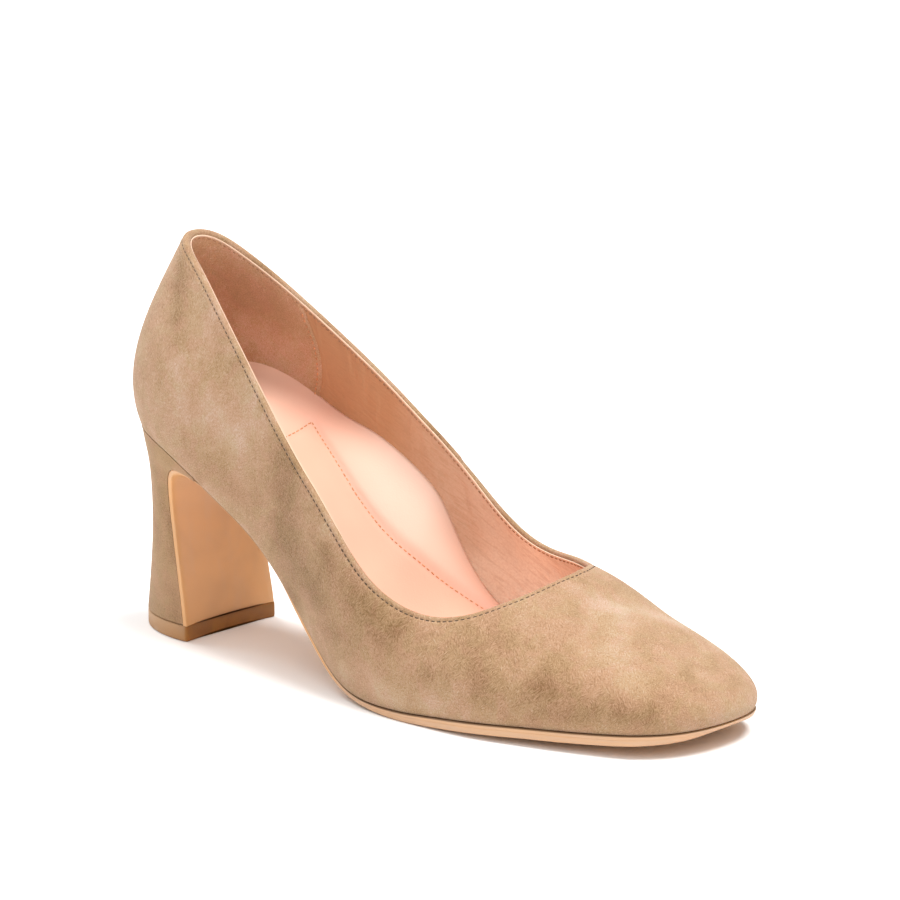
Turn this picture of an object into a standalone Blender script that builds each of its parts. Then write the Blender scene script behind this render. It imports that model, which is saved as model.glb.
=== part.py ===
"""Block heel pump, right shoe: upper, outsole, heel, top lift and insole.

The upper is a fan of ribs from the feather line (the seam of upper and bottom) to the
topline, and in front of the throat to the ridge of the vamp.  Each rib is a cubic curve.
Tables are in millimetres and degrees: x from heel to toe, lateral -y, medial +y, z up.
"""
import bmesh
import bpy
import numpy as np

MM = 0.001
GAP = 0.3
WALL = 1.8
RIBS_PER_ROW = 3
RIB_STEPS = 10

# Upper sections: foot_ columns lie on the feather line.  top_ columns lie on the topline up to the
# arch, then on the instep of the last, and from the throat on the ridge of the vamp.  flare leans
# the wall outwards at its foot, lean_ columns lean it inwards at its top, and cut_ columns are the
# share of a rib that the throat takes away.
SECTION_COLUMNS = ("foot_x", "foot_lat", "foot_med", "top_x", "top_lat", "top_med", "high_lat",
                   "high_med", "flare", "lean_lat", "lean_med", "cut_lat", "cut_med")
SECTIONS = {
    "heel_back": (4.0, 0.0, 0.0, 18.9, 0.0, 0.0, 123.4, 123.4, 24, 27, 27, 0, 0),
    "heel_turn": (8.6, -12.4, 12.4, 22.8, -8.0, 8.0, 121.7, 121.7, 23, 25, 25, 0, 0),
    "heel_side": (19.0, -20.8, 20.6, 32.5, -13.0, 13.0, 116.3, 115.5, 20, 20, 20, 0, 0),
    "seat": (34.0, -25.0, 24.6, 45.0, -17.6, 17.2, 107.0, 106.4, 16, 14, 14, 0, 0),
    "shank": (54.0, -25.8, 24.4, 62.0, -22.0, 21.6, 90.5, 93.4, 13, 10, 10, 0, 0),
    "waist": (74.0, -26.0, 22.8, 79.0, -26.2, 24.8, 73.8, 80.4, 13, 8, 8, 0, 0),
    "arch": (92.0, -28.4, 23.2, 95.0, -30.2, 27.0, 60.5, 67.6, 16, 8, 8, 0, 0),
    "joint": (110.0, -33.6, 27.0, 109.5, -31.8, 28.0, 51.0, 57.8, 16, 14, 14, 0.08, 0.05),
    "tread": (130.0, -38.2, 32.0, 123.0, -26.8, 25.4, 46.0, 50.6, 15, 33, 33, 0.31, 0.17),
    "ball": (147.0, -38.7, 34.4, 135.5, -14.0, 19.0, 44.5, 46.8, 14, 59, 58, 0.59, 0.36),
    "throat_side": (160.0, -38.2, 35.2, 147.0, -1.0, 12.8, 44.0, 44.6, 14, 76, 79, 0.75, 0.5),
    "throat_turn": (170.0, -36.6, 35.0, 157.5, 4.8, 8.4, 42.2, 42.4, 14, 83, 87, 0.7, 0.57),
    "throat": (179.0, -34.3, 34.2, 166.4, 6.6, 6.6, 40.2, 40.2, 14, 89, 90, 0.48, 0.46),
    "vamp": (190.0, -31.4, 32.3, 175.5, 6.6, 6.6, 35.4, 35.4, 15, 90, 90, 0, 0),
    "toes": (201.0, -27.9, 29.2, 185.0, 6.2, 6.2, 31.8, 31.8, 17, 90, 90, 0, 0),
    "toe_side": (211.0, -23.8, 25.4, 194.5, 5.8, 5.8, 28.7, 28.7, 20, 90, 90, 0, 0),
    "toe_corner": (218.2, -17.2, 20.8, 202.5, 5.4, 5.4, 25.5, 25.5, 25, 90, 90, 0, 0),
    "toe_turn": (222.4, -8.4, 14.4, 207.0, 5.2, 5.2, 23.5, 23.5, 31, 90, 90, 0, 0),
    "toe_tip": (224.1, 4.0, 4.0, 208.5, 5.1, 5.1, 22.8, 22.8, 33, 90, 90, 0, 0),
}
ARCH = list(SECTIONS).index("arch")
THROAT = list(SECTIONS).index("throat")
CROWD_ROWS = 4.0
CROWD_POWER = 1.7
FOOT_HOLD = 0.36
TOP_HOLD = 0.36

# Height of the feather line along the shoe, never under the tread.
FEATHER_COLUMNS = ("x", "height")
FEATHER = ((4.0, 65.6), (18.0, 63.9), (29.0, 61.0), (40.0, 56.1), (54.0, 48.2), (67.0, 40.0),
           (81.0, 27.3), (96.0, 12.0), (105.0, 5.6), (115.0, 3.2), (140.0, 2.9), (160.0, 3.6),
           (185.0, 5.4), (225.0, 8.4))
TREAD_THICK = 3.0
ARCH_RISE = 3.5
ARCH_X = 75.0
ARCH_LENGTH = 22.0

# Outsole: how far it stands out past the feather line, and its thickness.
WELT_COLUMNS = ("x", "stand_out", "thick")
WELT = ((42.0, -0.6, 2.0), (85.0, -1.0, 1.6), (100.0, -0.8, 1.6), (110.0, 0.2, 2.5),
        (118.0, 0.8, 3.0), (165.0, 0.8, 3.0), (200.0, 0.7, 2.9), (212.0, 0.5, 2.4),
        (219.0, 0.3, 1.8), (226.0, 0.2, 1.3))
EDGE_BEVEL = 0.7

# Front of the heel as a cubic curve in side view, from the waist down to the top lift.
BREAST = ((46.0, 52.3), (20.0, 62.0), (25.5, 45.0), (31.9, 5.3))
FLAP_COLUMNS = ("share", "half_width", "thick")
FLAP = ((0.0, 24.8, 2.0), (0.15, 24.2, 1.9), (0.3, 22.4, 1.8), (0.5, 20.0, 1.7),
        (0.75, 19.0, 1.6), (1.0, 19.6, 1.6))
FLAP_STEPS = 14
HOLLOW = 1.6

# Back of the heel in side view.
HEEL_BACK_COLUMNS = ("z", "x")
HEEL_BACK = ((5.3, 3.3), (14.0, 4.8), (25.0, 6.7), (36.0, 8.0), (48.0, 8.6), (57.0, 8.0),
             (65.6, 5.2))
HEEL_TIP = 0.035
HEEL_STEPS = 14
HEEL_TURNS = 14

LIFT_HIGH = 5.0
LIFT_BACK = 3.1
LIFT_FRONT = 33.9
LIFT_HALF_WIDTH = 20.0

# Footbed: height of its lateral edge, middle and medial edge above the feather line.
BED_COLUMNS = ("x", "lateral", "middle", "medial")
BED = ((4.0, 11.2, 10.8, 11.8), (19.0, 12.7, 10.6, 16.8), (33.4, 14.6, 12.1, 18.5),
       (45.6, 14.4, 12.7, 19.3), (58.2, 12.4, 11.5, 19.9), (72.4, 9.4, 8.4, 23.8),
       (81.6, 9.0, 8.1, 27.4), (89.0, 9.4, 8.7, 30.6), (95.8, 9.8, 9.2, 31.2),
       (101.8, 9.5, 8.9, 27.2), (109.3, 8.3, 7.8, 20.4), (119.2, 6.3, 6.1, 13.0),
       (132.0, 5.0, 5.0, 7.5), (160.0, 4.2, 4.4, 4.6), (225.0, 3.6, 4.0, 3.6))
BED_COLUMN_COUNT = 10
BED_SIDE_STEPS = 4


def slopes(knots, values, closed):
    """Slope at every knot that keeps the curvature of the curve continuous."""
    step = np.diff(knots)
    rise = np.diff(values, axis=0) / step[:, None]
    count = len(knots)
    matrix = np.zeros((count, count))
    right = np.zeros_like(values)
    for i in range(1, count - 1):
        matrix[i, i - 1:i + 2] = step[i], 2 * (step[i - 1] + step[i]), step[i - 1]
        right[i] = 3 * (step[i] * rise[i - 1] + step[i - 1] * rise[i])
    if closed:
        matrix[0, 0] = 1
        matrix[0, -1] = -1
        matrix[-1, [count - 2, 0, 1]] = step[0], 2 * (step[-1] + step[0]), step[-1]
        right[-1] = 3 * (step[0] * rise[-1] + step[-1] * rise[0])
    else:
        matrix[0, :2] = 2, 1
        right[0] = 3 * rise[0]
        matrix[-1, -2:] = 1, 2
        right[-1] = 3 * rise[-1]
    return np.linalg.solve(matrix, right)


def spline(knots, values, at, closed=False):
    """Smooth curve through the rows of a table, and its slope, at the given places."""
    knots = np.asarray(knots, float)
    values = np.asarray(values, float).reshape(len(knots), -1)
    at = np.asarray(at, float)
    slope = slopes(knots, values, closed)
    k = np.clip(np.searchsorted(knots, at, side="right") - 1, 0, len(knots) - 2)
    step = (knots[k + 1] - knots[k])[:, None]
    s = (at - knots[k])[:, None] / step
    a, b, c, d = values[k], values[k + 1], slope[k] * step, slope[k + 1] * step
    point = (1 + 2 * s) * (1 - s) ** 2 * a + s ** 2 * (3 - 2 * s) * b
    point += s * (1 - s) ** 2 * c + s ** 2 * (s - 1) * d
    along = 6 * s * (1 - s) * (b - a) + (1 - s) * (1 - 3 * s) * c + s * (3 * s - 2) * d
    return point, along / step


def column(table, number, at):
    """One column of a table read at the given places along its first column."""
    rows = np.array(table, float)
    return np.interp(at, rows[:, 0], rows[:, number])


def bezier(p0, p1, p2, p3, t):
    """Cubic curve of four control points."""
    return (1 - t) ** 3 * p0 + 3 * t * (1 - t) ** 2 * p1 + 3 * t ** 2 * (1 - t) * p2 + t ** 3 * p3


def feather_height(x, share=0.0):
    """Height of the seam at x, share 0 on the lateral side and 1 on the medial side."""
    rows = np.array(FEATHER)
    x = np.asarray(x, float)
    flat, _ = spline(rows[:, 0], rows[:, 1], x.ravel())
    height = np.maximum(flat[:, 0].reshape(x.shape), TREAD_THICK + GAP)
    return height + ARCH_RISE * np.exp(-((x - ARCH_X) / ARCH_LENGTH) ** 2) * share


def rib_places():
    """Row number and share of the way to the next row for every rib, crowded behind the throat."""
    places = np.arange(0, RIBS_PER_ROW * (len(SECTIONS) - 1) + 1) / RIBS_PER_ROW
    away = np.clip((THROAT - places) / CROWD_ROWS, 0, 1)
    crowded = THROAT - CROWD_ROWS * away ** CROWD_POWER
    places = np.where((away > 0) & (away < 1), crowded, places)
    row = np.minimum(places.astype(int), len(SECTIONS) - 2)
    return row, places - row


def loop(lateral, medial, row, share):
    """Closed smooth curve through both sides; returns places and slopes of the two sides."""
    gaps = np.linalg.norm(np.diff(lateral, axis=0), axis=1)
    gaps = (gaps + np.linalg.norm(np.diff(medial, axis=0), axis=1)) / 2
    knots = np.concatenate([[0], np.cumsum(gaps)])
    at = knots[row] + share * (knots[row + 1] - knots[row])
    turn = 2 * knots[-1]
    values = np.concatenate([lateral, medial[-2::-1]])
    knots = np.concatenate([knots, turn - knots[-2::-1]])
    return spline(knots, values, at, True), spline(knots, values, turn - at, True)


def upper_ribs():
    """Feet, outward directions and outer rib points of the lateral and medial side."""
    table = dict(zip(SECTION_COLUMNS, np.array(list(SECTIONS.values()), float).T))
    row, share = rib_places()
    foot = [np.stack([table["foot_x"], table["foot_" + s]], 1) for s in ("lat", "med")]
    feet = loop(foot[0], foot[1], row, share)
    place = row + share
    rows = np.arange(len(SECTIONS))
    turn = len(SECTIONS) - 1
    tops = [np.stack([table["top_x"], table["top_" + s], table["high_" + s]], 1)
            for s in ("lat", "med")]
    around = np.concatenate([tops[1][:0:-1], tops[0]])
    line, _ = spline(np.arange(-turn, turn + 1), around, np.concatenate([place, -place]), True)
    line = np.split(line, 2)
    ridge = (place > THROAT)[:, None]
    middle = (line[0] + line[1]) / 2
    fall = np.gradient(tops[0][THROAT:, 2], tops[0][THROAT:, 0])
    drop = np.interp(place, rows[THROAT:], fall)
    open_share = np.clip((THROAT - place) / (THROAT - ARCH), 0, 1)
    sides = []
    for number, side in enumerate(("lat", "med")):
        plan, run = feet[number]
        out = np.stack([run[:, 1], -run[:, 0]], 1)
        out /= np.linalg.norm(out, axis=1)[:, None]
        high = feather_height(plan[:, 0], np.full(len(plan), float(number)))
        foot_point = np.column_stack([plan, high])
        top_point = np.where(ridge, middle, line[number])
        flare, lean, cut = [spline(rows, table[k], place)[0][:, 0]
                            for k in ("flare", "lean_" + side, "cut_" + side)]
        flare = np.radians(flare)
        lean = np.radians(np.minimum(lean, 90))
        cut = np.where(place < ARCH, 0, np.maximum(cut, 0) * np.sqrt(open_share))
        rise = np.column_stack([out * np.sin(flare)[:, None], np.cos(flare)])
        settle = np.column_stack([-out * np.sin(lean)[:, None], np.cos(lean)])
        settle[:, 2] -= np.sin(lean) ** 3 * drop * out[:, 0]
        size = np.linalg.norm(top_point - foot_point, axis=1)[:, None]
        t = np.linspace(0, 1, RIB_STEPS + 1) * (1 - cut[:, None])
        points = bezier(foot_point[:, None], (foot_point + FOOT_HOLD * size * rise)[:, None],
                        (top_point - TOP_HOLD * size * settle)[:, None], top_point[:, None],
                        t[..., None])
        sides.append({"foot": foot_point, "out": out, "flare": flare, "points": points})
    for key in ("points", "foot"):
        sides[1][key][-1] = sides[0][key][-1]
    return sides


def grid_faces(rows, columns, start=0, flip=False):
    """Quads of a grid of points stored row after row."""
    number = start + np.arange(rows * columns).reshape(rows, columns)
    quads = np.stack([number[:-1, :-1], number[1:, :-1], number[1:, 1:], number[:-1, 1:]], -1)
    quads = quads.reshape(-1, 4)
    return (quads[:, ::-1] if flip else quads).tolist()


def upper_surface(sides):
    """Outer skin of the upper: both sides meet on the ridge, at the heel and at the toe."""
    rows, columns = sides[0]["points"].shape[:2]
    points = np.concatenate([side["points"].reshape(-1, 3) for side in sides])
    faces = grid_faces(rows, columns) + grid_faces(rows, columns, rows * columns, True)
    return points, faces


def breast_points(share, offset):
    """Front of the heel in side view, moved by offset towards the toe, and half widths."""
    share = np.asarray(share, float)
    control = np.array(BREAST)
    curve = bezier(*[c[None] for c in control], share[:, None])
    step = 1e-4
    ahead = bezier(*[c[None] for c in control], share[:, None] + step) - curve
    ahead /= np.linalg.norm(ahead, axis=1)[:, None]
    normal = np.stack([-ahead[:, 1], ahead[:, 0]], 1)
    return curve + normal * np.asarray(offset).reshape(-1, 1), column(FLAP, 1, share)


def hollow(share, y, half_width):
    """How far the breast is scooped back at y, fading out where it bends into the waist."""
    fade = np.clip((share - 0.35) / 0.3, 0, 1)
    return HOLLOW * fade * (1 - np.clip(np.abs(y) / half_width, 0, 1) ** 2)


def strip_solid(top, bottom):
    """Closed solid between two grids of points that share their layout."""
    rows, columns = top.shape[:2]
    count = rows * columns
    points = np.concatenate([top.reshape(-1, 3), bottom.reshape(-1, 3)])
    faces = grid_faces(rows, columns) + grid_faces(rows, columns, count, True)
    number = np.arange(count).reshape(rows, columns)
    rim = np.concatenate([number[0, :-1], number[:-1, -1], number[-1, :0:-1], number[:0:-1, 0]])
    after = np.roll(rim, -1)
    faces += np.stack([rim, after, after + count, rim + count], 1).tolist()
    return points, faces


def outsole_solid(sides):
    """Strip under the forepart and waist that folds down over the front of the heel."""
    keep = np.nonzero(sides[0]["foot"][:, 0] > BREAST[0][0] + 1)[0][::-1]
    share = np.linspace(0, 1, FLAP_STEPS)
    cross = np.linspace(0, 1, 5)
    edges = []
    for side in sides:
        foot = side["foot"][keep]
        out = side["out"][keep]
        stand = column(WELT, 1, foot[:, 0])[:, None]
        edges.append((np.column_stack([foot[:, :2] + out * stand, foot[:, 2] - GAP]), out))
    thick = column(WELT, 2, sides[0]["foot"][keep, 0])
    top = edges[0][0][:, None] * (1 - cross[:, None]) + edges[1][0][:, None] * cross[:, None]
    inset = [edge - np.column_stack([out * EDGE_BEVEL, 0 * out[:, :1]]) for edge, out in edges]
    low = inset[0][:, None] * (1 - cross[:, None]) + inset[1][:, None] * cross[:, None]
    run = np.gradient(top.mean(1), axis=0)
    run /= np.hypot(run[:, 0], run[:, 2])[:, None]
    down = np.stack([-run[:, 2], 0 * thick, run[:, 0]], 1)
    low = low + (down * thick[:, None])[:, None]
    line, half = breast_points(share, 0.0)
    outer, _ = breast_points(share, column(FLAP, 2, share))
    y = half[:, None] * (2 * cross - 1)
    scoop = hollow(share[:, None], y, half[:, None])
    flap_top = np.stack([line[:, :1] - scoop, y, line[:, 1:] + 0 * y], -1)
    flap_low = np.stack([outer[:, :1] - scoop, y * 0.985, outer[:, 1:] + 0 * y], -1)
    top = np.concatenate([top, flap_top])[::-1]
    low = np.concatenate([low, flap_low])[::-1]
    return strip_solid(top, low)


def heel_solid(sides):
    """Sections from the top lift to the seat, each half an ellipse closed by the breast."""
    share = 1 - np.linspace(0, 1, HEEL_STEPS) * (1 - HEEL_TIP)
    front, half = breast_points(share, -GAP)
    rise = np.linspace(0, 1, HEEL_STEPS)
    seat_back = feather_height(sides[0]["foot"][:1, 0])[0] - GAP
    back_z = 5.3 + (seat_back - 5.3) * (1 - (1 - rise) ** 1.5)
    back_x = spline(*np.array(HEEL_BACK).T, back_z)[0][:, 0]
    front = np.concatenate([front, front[-1:]])
    front[-1, 1] = feather_height(front[-1:, 0])[0] - GAP
    half, back_z, back_x = [np.append(a, a[-1]) for a in (half, back_z, back_x)]
    rise = np.append(rise, 1.0)
    share = np.append(share, share[-1])
    angle = np.linspace(-np.pi / 2, np.pi / 2, 2 * HEEL_TURNS + 1)
    level = 1 - np.cos(angle)
    x = back_x[:, None] + (front[:, :1] - back_x[:, None]) * level
    blend = (rise ** 7)[:, None]
    lateral, medial = [np.interp(x[-1], side["foot"][:, 0], side["foot"][:, 1]) for side in sides]
    seam = np.where(angle < 0, lateral, medial)
    seam[HEEL_TURNS] = 0
    y = (1 - blend) * half[:, None] * np.sin(angle) + blend * seam
    straight = back_z[:, None] + (front[:, 1:] - back_z[:, None]) * level
    seat = feather_height(x[-1], (angle > 0).astype(float)) - GAP
    sag = seat - straight[-1]
    z = straight + blend * sag
    ring = np.stack([x, y, z], -1)
    ring[-2, :, 2] = np.minimum(ring[-2, :, 2], ring[-1, :, 2] - 0.8)
    cross = np.linspace(1, -1, 9)[1:-1]
    breast_y = half[:, None] * cross
    scoop = hollow(share[:, None], breast_y, half[:, None])
    share_y = (1 - cross) / 2
    corner_a, corner_b = ring[:, -1], ring[:, 0]
    breast = corner_a[:, None] * (1 - share_y[:, None]) + corner_b[:, None] * share_y[:, None]
    breast[:, :, 0] -= scoop
    rings = np.concatenate([ring, breast], 1)
    steps, count = rings.shape[:2]
    number = np.arange(steps * count).reshape(steps, count)
    after = np.roll(number, -1, axis=1)
    sides_faces = np.stack([number[:-1], after[:-1], after[1:], number[1:]], -1)
    faces = sides_faces.reshape(-1, 4)[:, ::-1].tolist()
    faces.append(number[0].tolist())
    top = number[-1]
    turns = 2 * HEEL_TURNS
    for i in range(HEEL_TURNS):
        quad = [top[i], top[i + 1], top[turns - i - 1], top[turns - i]]
        faces.append(quad[::-1] if i < HEEL_TURNS - 1 else [top[i + 2], top[i + 1], top[i]])
    faces.append([top[0]] + top[turns:][::-1].tolist())
    return rings.reshape(-1, 3), faces


def lift_solid():
    """Half ellipse slab under the heel."""
    angle = np.linspace(-np.pi / 2, np.pi / 2, 33)
    x = LIFT_BACK + (LIFT_FRONT - LIFT_BACK) * (1 - np.cos(angle))
    y = LIFT_HALF_WIDTH * np.sin(angle)
    cross = np.linspace(1, -1, 9)[1:-1]
    front = LIFT_FRONT - HOLLOW * (1 - cross ** 2)
    outline = np.concatenate([np.stack([x, y], 1), np.stack([front, LIFT_HALF_WIDTH * cross], 1)])
    count = len(outline)
    points = np.concatenate([np.column_stack([outline, np.full(count, z)])
                             for z in (0.0, LIFT_HIGH)])
    number = np.arange(count)
    after = np.roll(number, -1)
    faces = np.stack([number, number + count, after + count, after], 1).tolist()
    faces.append(number.tolist())
    faces.append((number + count)[::-1].tolist())
    return points, faces


def wall_inside(side, height):
    """Points up the inside of the wall from its foot to a height above it, rib by rib."""
    points = side["points"]
    along = np.gradient(points, axis=0)
    upward = np.gradient(points, axis=1)
    normal = np.cross(along, upward)
    normal /= np.linalg.norm(normal, axis=2)[..., None]
    normal *= np.sign((normal[:, :1, :2] * side["out"][:, None]).sum(-1))[..., None]
    inner = points - normal * (WALL + GAP + 0.1)
    steps = np.linspace(0, 1, BED_SIDE_STEPS + 1)
    chains = []
    for rib, foot, rise in zip(inner, side["foot"], height):
        level = foot[2] + rise * steps
        chain = [np.interp(level, rib[:, 2], rib[:, k]) for k in (0, 1)]
        chains.append(np.stack(chain + [level], 1))
    return np.array(chains)


def insole_solid(sides):
    """Padded footbed inside the upper, cupped and carried up the medial wall at the arch."""
    x = sides[0]["foot"][:, 0]
    low, mid, high = [column(BED, k, x) for k in (1, 2, 3)]
    lateral = wall_inside(sides[0], low)[1:-1]
    medial = wall_inside(sides[1], high)[1:-1]
    low, mid, high = low[1:-1, None], mid[1:-1, None], high[1:-1, None]
    cross = np.linspace(0, 1, BED_COLUMN_COUNT + 1)
    mix = cross[None, :, None]
    floor = lateral[:, :1] * (1 - mix) + medial[:, :1] * mix
    bed = lateral[:, -1:] * (1 - mix) + medial[:, -1:] * mix
    rise = mid + (low - mid) * np.clip(1 - cross / 0.4, 0, 1) ** 2
    rise = rise + (high - mid) * np.clip((cross - 0.4) / 0.6, 0, 1) ** 2.5
    bed[..., 2] = floor[..., 2] + rise
    rings = np.concatenate([floor, medial[:, 1:-1], bed[:, ::-1], lateral[:, -2:0:-1]], 1)
    steps, count = rings.shape[:2]
    number = np.arange(steps * count).reshape(steps, count)
    after = np.roll(number, -1, axis=1)
    faces = np.stack([after[:-1], after[1:], number[1:], number[:-1]], -1).reshape(-1, 4).tolist()
    faces.append(number[0, ::-1].tolist())
    faces.append(number[-1].tolist())
    return rings.reshape(-1, 3), faces


def material(name, colour, roughness):
    """Plain material of one colour."""
    made = bpy.data.materials.new(name)
    made.use_nodes = True
    shader = made.node_tree.nodes["Principled BSDF"]
    shader.inputs["Base Color"].default_value = (*colour, 1.0)
    shader.inputs["Roughness"].default_value = roughness
    shader.inputs["Metallic"].default_value = 0.0
    return made


def add_piece(name, shape, shift, look, collection):
    """Object of the given points and faces, moved into the frame of the shoe."""
    points, faces = shape
    mesh = bpy.data.meshes.new(name)
    mesh.from_pydata(((points + shift) * MM).tolist(), [], faces)
    work = bmesh.new()
    work.from_mesh(mesh)
    bmesh.ops.remove_doubles(work, verts=work.verts, dist=0.00002)
    work.to_mesh(mesh)
    work.free()
    mesh.materials.append(look)
    piece = bpy.data.objects.new(name, mesh)
    collection.objects.link(piece)
    return piece


def main():
    """Build every piece with the origin under the middle of the shoe."""
    for old in list(bpy.data.objects):
        bpy.data.objects.remove(old)
    shoe = bpy.data.collections.new("block_heel_pump")
    bpy.context.scene.collection.children.link(shoe)
    sides = upper_ribs()
    shapes = {"upper": upper_surface(sides), "outsole": outsole_solid(sides),
              "heel": heel_solid(sides), "top_lift": lift_solid(),
              "insole": insole_solid(sides)}
    looks = {"upper": ("suede", (0.60, 0.39, 0.25), 0.95),
             "outsole": ("sole_leather", (0.62, 0.36, 0.19), 0.5),
             "heel": ("heel_suede", (0.50, 0.32, 0.20), 0.95),
             "top_lift": ("lift_rubber", (0.30, 0.17, 0.09), 0.7),
             "insole": ("footbed_leather", (0.93, 0.62, 0.46), 0.5)}
    every = np.concatenate([points for points, _ in shapes.values()])
    middle = (every.min(0) + every.max(0)) / 2
    shift = np.array([-middle[0], -middle[1], 0.0])
    pieces = {}
    for name, shape in shapes.items():
        pieces[name] = add_piece(name, shape, shift, material(*looks[name]), shoe)
    wall = pieces["upper"].modifiers.new("wall", "SOLIDIFY")
    wall.thickness = WALL * MM
    wall.offset = -1.0
    wall.use_even_offset = True
    wall.use_rim = True


main()
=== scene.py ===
"""Looks of the block heel pump, right shoe.

The surfaces follow the tables of the solids: a fan of cubic ribs from the feather line (the seam of
upper and bottom) to the topline, and in front of the throat to the ridge of the vamp.  Tables are in
millimetres and degrees: x from heel to toe, lateral -y, medial +y, z up.
"""
import math

import bmesh
import bpy
import numpy as np
from bpy.props import FloatProperty, FloatVectorProperty, PointerProperty
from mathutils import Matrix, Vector


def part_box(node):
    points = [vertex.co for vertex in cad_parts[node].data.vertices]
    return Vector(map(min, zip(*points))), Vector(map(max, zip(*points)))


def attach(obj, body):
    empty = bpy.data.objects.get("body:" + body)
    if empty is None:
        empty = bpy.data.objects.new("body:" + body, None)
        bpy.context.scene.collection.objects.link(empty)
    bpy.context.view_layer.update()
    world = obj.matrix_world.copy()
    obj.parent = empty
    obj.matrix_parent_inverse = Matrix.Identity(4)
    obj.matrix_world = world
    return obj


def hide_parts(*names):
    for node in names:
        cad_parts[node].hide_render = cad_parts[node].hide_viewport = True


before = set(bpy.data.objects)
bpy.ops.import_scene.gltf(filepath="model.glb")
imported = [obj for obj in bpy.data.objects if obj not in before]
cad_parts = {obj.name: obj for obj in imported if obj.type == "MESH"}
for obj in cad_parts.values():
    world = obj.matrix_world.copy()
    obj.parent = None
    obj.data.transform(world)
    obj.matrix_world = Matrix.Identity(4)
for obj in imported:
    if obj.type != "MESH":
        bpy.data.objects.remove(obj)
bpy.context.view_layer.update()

bl_info = {
    "name": "Block heel pump",
    "version": (1, 0, 0),
    "blender": (4, 5, 0),
    "location": "View3D > Sidebar > Pump",
    "description": "Builds a suede block heel pump piece by piece",
    "category": "Add Mesh",
}

MM = 0.001
# How far sole and heel stay below the feather line.
GAP = 0.3
# Points nearer than the first become one and edges shorter than the second go, in metres.
MERGE = 2e-6
SLIVER = 1e-7
RIBS_PER_ROW = 24
# Share of a rib past which its normal is held, because the ribs meet at the ridge.
NORMAL_LIMIT = 0.985
SKIN_STEPS = 60
SKIN_CROWD = 1.6
LINING_STEPS = 44
LINING_CROWD = 1.4
LINING_COVER = 0.99
# One stitch: place along its length, share of the radius of the thread.
SPINDLE = ((-0.5, 0.3), (-0.36, 0.85), (0.0, 1.0), (0.36, 0.85), (0.5, 0.3))
SPINDLE_SIDES = 6
PATH_STEPS = 60

# Rows of ribs from heel to toe: feet and tops of both sides, angles at foot and top, share cut off.
SECTION_COLUMNS = ("foot_x", "foot_lat", "foot_med", "top_x", "top_lat", "top_med", "high_lat",
                   "high_med", "flare", "lean_lat", "lean_med", "cut_lat", "cut_med")
SECTIONS = {
    "heel_back": (4.0, 0.0, 0.0, 18.9, 0.0, 0.0, 123.4, 123.4, 24, 27, 27, 0, 0),
    "heel_turn": (8.6, -12.4, 12.4, 22.8, -8.0, 8.0, 121.7, 121.7, 23, 25, 25, 0, 0),
    "heel_side": (19.0, -20.8, 20.6, 32.5, -13.0, 13.0, 116.3, 115.5, 20, 20, 20, 0, 0),
    "seat": (34.0, -25.0, 24.6, 45.0, -17.6, 17.2, 107.0, 106.4, 16, 14, 14, 0, 0),
    "shank": (54.0, -25.8, 24.4, 62.0, -22.0, 21.6, 90.5, 93.4, 13, 10, 10, 0, 0),
    "waist": (74.0, -26.0, 22.8, 79.0, -26.2, 24.8, 73.8, 80.4, 13, 8, 8, 0, 0),
    "arch": (92.0, -28.4, 23.2, 95.0, -30.2, 27.0, 60.5, 67.6, 16, 8, 8, 0, 0),
    "joint": (110.0, -33.6, 27.0, 109.5, -31.8, 28.0, 51.0, 57.8, 16, 14, 14, 0.08, 0.05),
    "tread": (130.0, -38.2, 32.0, 123.0, -26.8, 25.4, 46.0, 50.6, 15, 33, 33, 0.31, 0.17),
    "ball": (147.0, -38.7, 34.4, 135.5, -14.0, 19.0, 44.5, 46.8, 14, 59, 58, 0.59, 0.36),
    "throat_side": (160.0, -38.2, 35.2, 147.0, -1.0, 12.8, 44.0, 44.6, 14, 76, 79, 0.75, 0.5),
    "throat_turn": (170.0, -36.6, 35.0, 157.5, 4.8, 8.4, 42.2, 42.4, 14, 83, 87, 0.7, 0.57),
    "throat": (179.0, -34.3, 34.2, 166.4, 6.6, 6.6, 40.2, 40.2, 14, 89, 90, 0.48, 0.46),
    "vamp": (190.0, -31.4, 32.3, 175.5, 6.6, 6.6, 35.4, 35.4, 15, 90, 90, 0, 0),
    "toes": (201.0, -27.9, 29.2, 185.0, 6.2, 6.2, 31.8, 31.8, 17, 90, 90, 0, 0),
    "toe_side": (211.0, -23.8, 25.4, 194.5, 5.8, 5.8, 28.7, 28.7, 20, 90, 90, 0, 0),
    "toe_corner": (218.2, -17.2, 20.8, 202.5, 5.4, 5.4, 25.5, 25.5, 25, 90, 90, 0, 0),
    "toe_turn": (222.4, -8.4, 14.4, 207.0, 5.2, 5.2, 23.5, 23.5, 31, 90, 90, 0, 0),
    "toe_tip": (224.1, 4.0, 4.0, 208.5, 5.1, 5.1, 22.8, 22.8, 33, 90, 90, 0, 0),
}
ARCH = list(SECTIONS).index("arch")
THROAT = list(SECTIONS).index("throat")
ROW_LENGTH = 17.0
CROWD_ROWS = 4.0
CROWD_POWER = 1.7
FOOT_HOLD = 0.36
TOP_HOLD = 0.36
# Room that the wall leaves under the line of the topline for the folded edge, and rows to its full size.
FOLD_ROOM = 0.7
FOLD_FADE_ROWS = 1.5
FOLD_STEPS = 13
# How far the folded suede goes down behind the edge.
FOLD_TAIL = 0.7
# Roll of the topline at the back of the heel: extra thickness, and its length in rows.
ROLL = 0.9
ROLL_ROWS = 2.4
# Stitch row of the topline: share of its drop at the heel, rows to its full drop, width of its groove.
DROP_AT_HEEL = 0.3
DROP_ROWS = 9.0
GROOVE_WIDTH = 0.6
# Swelling of the suede below the stitch row: height, way from the topline, width.
SWELLING = (0.12, 1.1, 0.8)
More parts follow.
